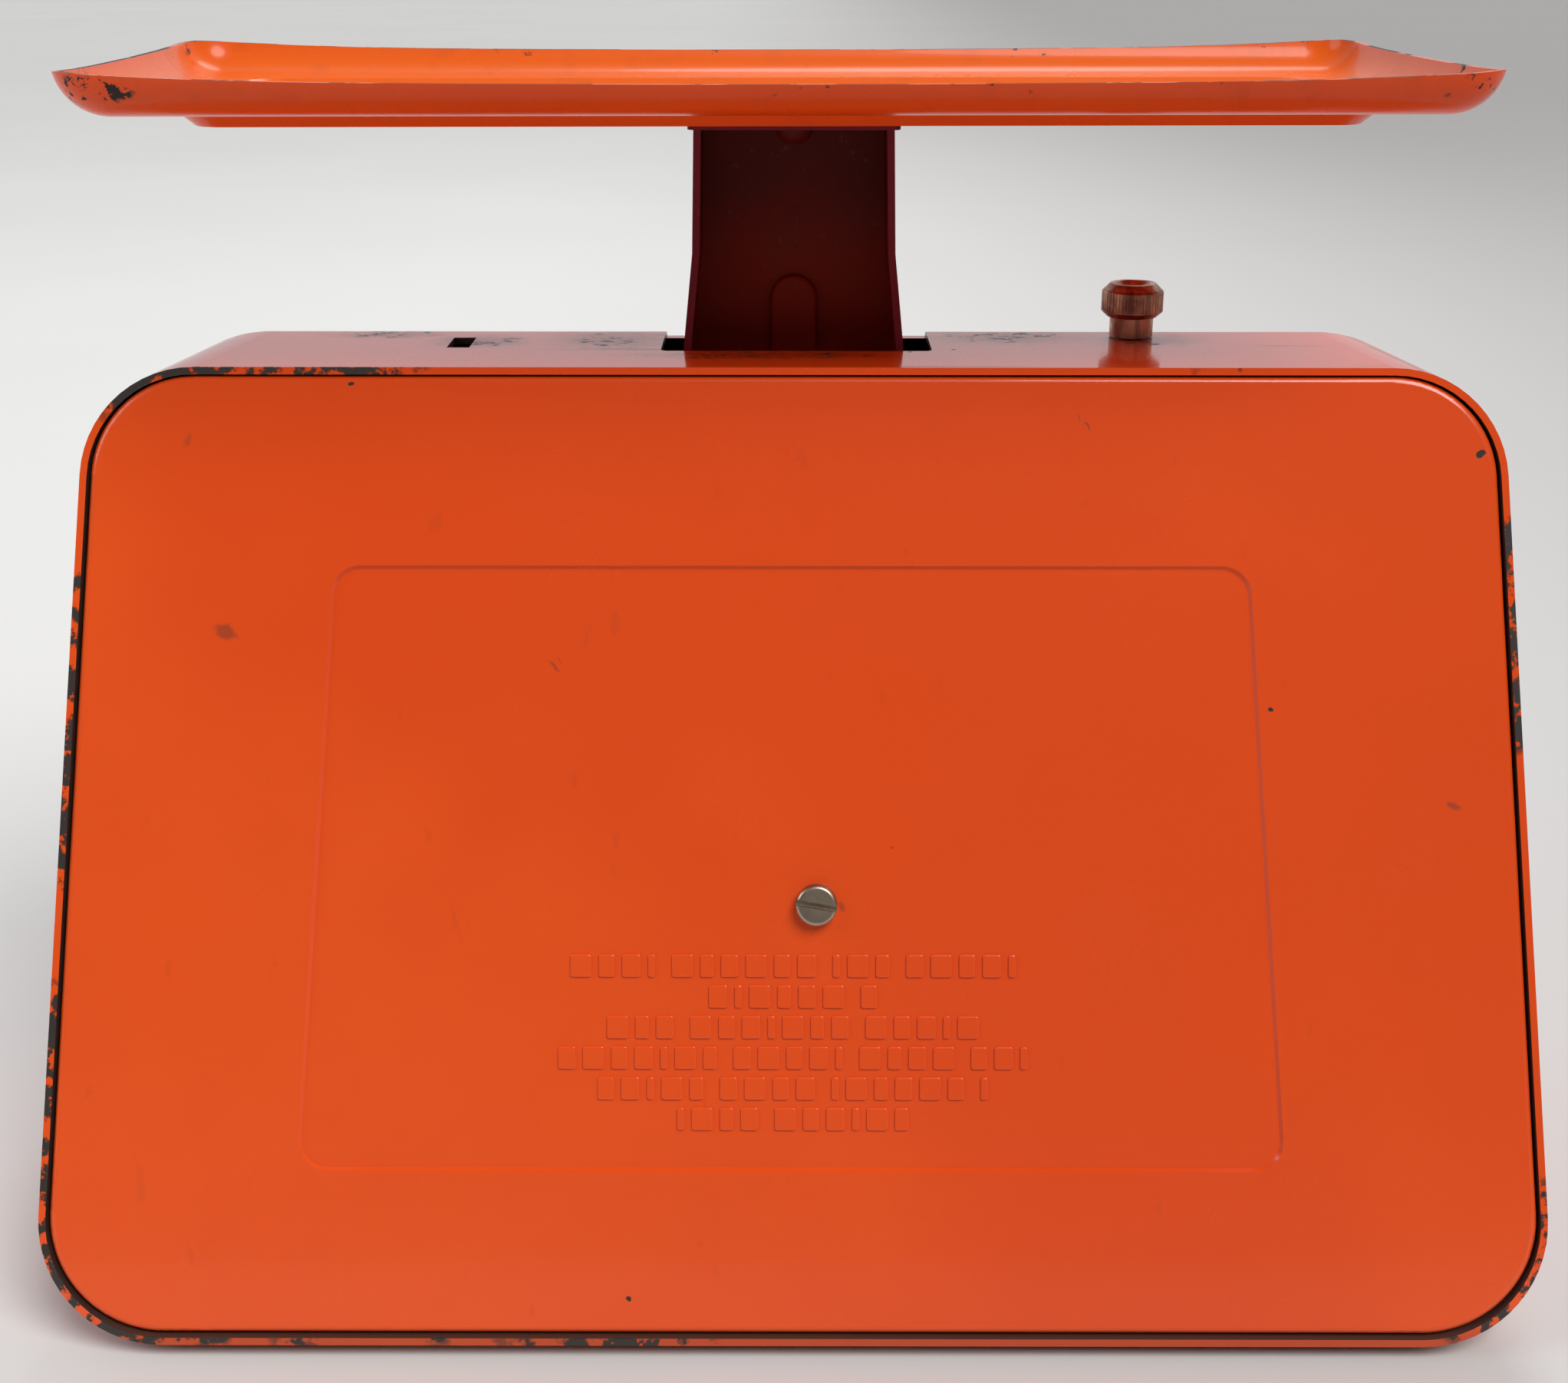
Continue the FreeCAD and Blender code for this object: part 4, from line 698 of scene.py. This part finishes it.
def spring_path():
    """Lower eye, tapering lead-in, close coils and upper eye as one wire.

    The upper eye is a tall loop, so the hanger's pin has room for its travel.
    """
    radius = (spring_high.x - spring_low.x) / 2 - WIRE
    low = spring_low.z + HOOK
    high = spring_high.z - HOOK
    loop = (pin_high.z - pin_low.z) / 2 + hanger_travel + WIRE + LOOP_ROOM
    centre_low = spring_low.z + EYE_LOW + WIRE
    centre_high = (pin_low.z + pin_high.z) / 2
    points = []
    for i in range(EYE_STEPS + 1):
        a = math.radians(-70 - EYE_ARC * i / EYE_STEPS)
        points.append(Vector((EYE_LOW * math.sin(a), 0, centre_low + EYE_LOW * math.cos(a))))
    steps = COIL_TURNS * TURN_STEPS
    for i in range(steps + 1):
        share = i / steps
        a = 2 * math.pi * COIL_TURNS * share
        reach = radius * min(1.0, min(share, 1.0 - share) * TAPER + TAPER_START)
        points.append(Vector((reach * math.cos(a), reach * math.sin(a), low + (high - low) * share)))
    for i in range(EYE_STEPS + 1):
        a = math.radians(110 + EYE_ARC * i / EYE_STEPS)
        points.append(Vector((EYE_HIGH * math.sin(a), 0, centre_high + loop * math.cos(a))))
    base = Vector((spring_axis.x, spring_axis.y, 0))
    return [base + p for p in points]


def wire_piece(name, points, radius, material):
    curve = bpy.data.curves.new(name, "CURVE")
    curve.dimensions = "3D"
    line = curve.splines.new("NURBS")
    line.points.add(len(points) - 1)
    for knot, point in zip(line.points, points):
        knot.co = (*point, 1.0)
    line.order_u = 3
    line.use_endpoint_u = True
    curve.bevel_depth = radius
    curve.bevel_resolution = 3
    curve.resolution_u = 2
    curve.use_fill_caps = True
    carrier = add_object(name, curve)
    bpy.context.view_layer.update()
    mesh = bpy.data.meshes.new_from_object(carrier)
    bpy.data.objects.remove(carrier)
    mesh.shade_smooth()
    piece = add_object(name, mesh)
    dress(piece, material)
    return piece


spring = wire_piece("spring_coil", spring_path(), WIRE, SPRING)
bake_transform(spring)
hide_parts("main_spring")


# ---------------------------------------------------------------- floor, light, camera

FLOOR_RADIUS = 9.0
KEY_HEADING = (0.42, -0.55, -0.85)
KEY_STRENGTH = 2.6
KEY_SPREAD = 34.0
LAMP_AIM = (0, 0, 0.08)
LAMP_SIZE = 0.9
ROOM_BRIGHT = 0.64
ROOM_DIM = 0.13
ROOM_EASE = (-0.65, 0.25)
CAMERA_PLACE = (0.0008, 0.3445, 0.2163)
CAMERA_TURN = (70.35, -0.03, 180.13)
FOCAL_LENGTH = 49.5
SENSOR_WIDTH = 36.0


def floor_material():
    """Pale matt floor with painted shade, a little darker towards -X."""
    g = Graph("pale_floor")
    # Painted shade: the floor darkens towards -X.
    painted_floor_shade = g.step(g.coordinate("X"), 0.25, -0.7)
    cloud = g.noise(3.0, 3.0, 0.5, 1.0)
    pale = g.mix(cloud, (0.70, 0.70, 0.695), (0.64, 0.64, 0.635))
    g.set(Base_Color=g.mix(painted_floor_shade, pale, (0.40, 0.385, 0.385)))
    g.set(Roughness=g.calc("MULTIPLY_ADD", cloud, 0.1, 0.6))
    g.bump(g.noise(160.0, 3.0, 0.5, 2.0), 0.05, 0.0001)
    return g.material


def floor_disc(shape):
    bmesh.ops.create_circle(shape, cap_ends=True, segments=96, radius=FLOOR_RADIUS)


def lamp(name, kind, heading, power, colour):
    """A lamp at the origin that shines along heading."""
    data = bpy.data.lights.new(name, kind)
    data.energy = power
    data.color = colour
    made = add_object(name, data)
    made.rotation_euler = Vector(heading).to_track_quat("-Z", "Y").to_euler()
    return made


def soft_lamp(name, place, power, colour):
    """Round soft lamp that faces the object."""
    made = lamp(name, "AREA", Vector(LAMP_AIM) - Vector(place), power, colour)
    made.data.shape = "DISK"
    made.data.size = LAMP_SIZE
    made.location = place


def make_room():
    """Plain surroundings, bright on the dial's side and dim on the camera's side."""
    world = bpy.data.worlds.new("studio")
    world.use_nodes = True
    sky = world.node_tree.nodes["Background"]
    heading = world.node_tree.nodes.new("ShaderNodeTexCoord")
    split = world.node_tree.nodes.new("ShaderNodeSeparateXYZ")
    shade = world.node_tree.nodes.new("ShaderNodeMapRange")
    shade.interpolation_type = "SMOOTHSTEP"
    shade.inputs["From Min"].default_value = ROOM_EASE[0]
    shade.inputs["From Max"].default_value = ROOM_EASE[1]
    shade.inputs["To Min"].default_value = ROOM_BRIGHT
    shade.inputs["To Max"].default_value = ROOM_DIM
    link = world.node_tree.links.new
    link(heading.outputs["Generated"], split.inputs[0])
    link(split.outputs["Y"], shade.inputs["Value"])
    link(shade.outputs[0], sky.inputs["Strength"])
    sky.inputs["Color"].default_value = (0.96, 0.97, 1.0, 1.0)
    bpy.context.scene.world = world


def make_camera():
    lens = bpy.data.cameras.new("view_from_behind")
    lens.sensor_width = SENSOR_WIDTH
    lens.lens = FOCAL_LENGTH
    lens.clip_start = 0.01
    camera = add_object("view_from_behind", lens)
    camera.location = CAMERA_PLACE
    camera.rotation_euler = [math.radians(a) for a in CAMERA_TURN]
    bpy.context.scene.camera = camera


new_piece("floor", floor_disc, floor_material())
key = lamp("key_light", "SUN", KEY_HEADING, KEY_STRENGTH, (1.0, 0.985, 0.955))
key.data.angle = math.radians(KEY_SPREAD)
soft_lamp("fill_light", (1.35, 0.45, 0.95), 6.0, (0.96, 0.98, 1.0))
soft_lamp("dial_light", (-0.3, -1.1, 1.5), 9.0, (1, 1, 1))
make_room()
make_camera()
bpy.context.scene.view_settings.view_transform = "Standard"
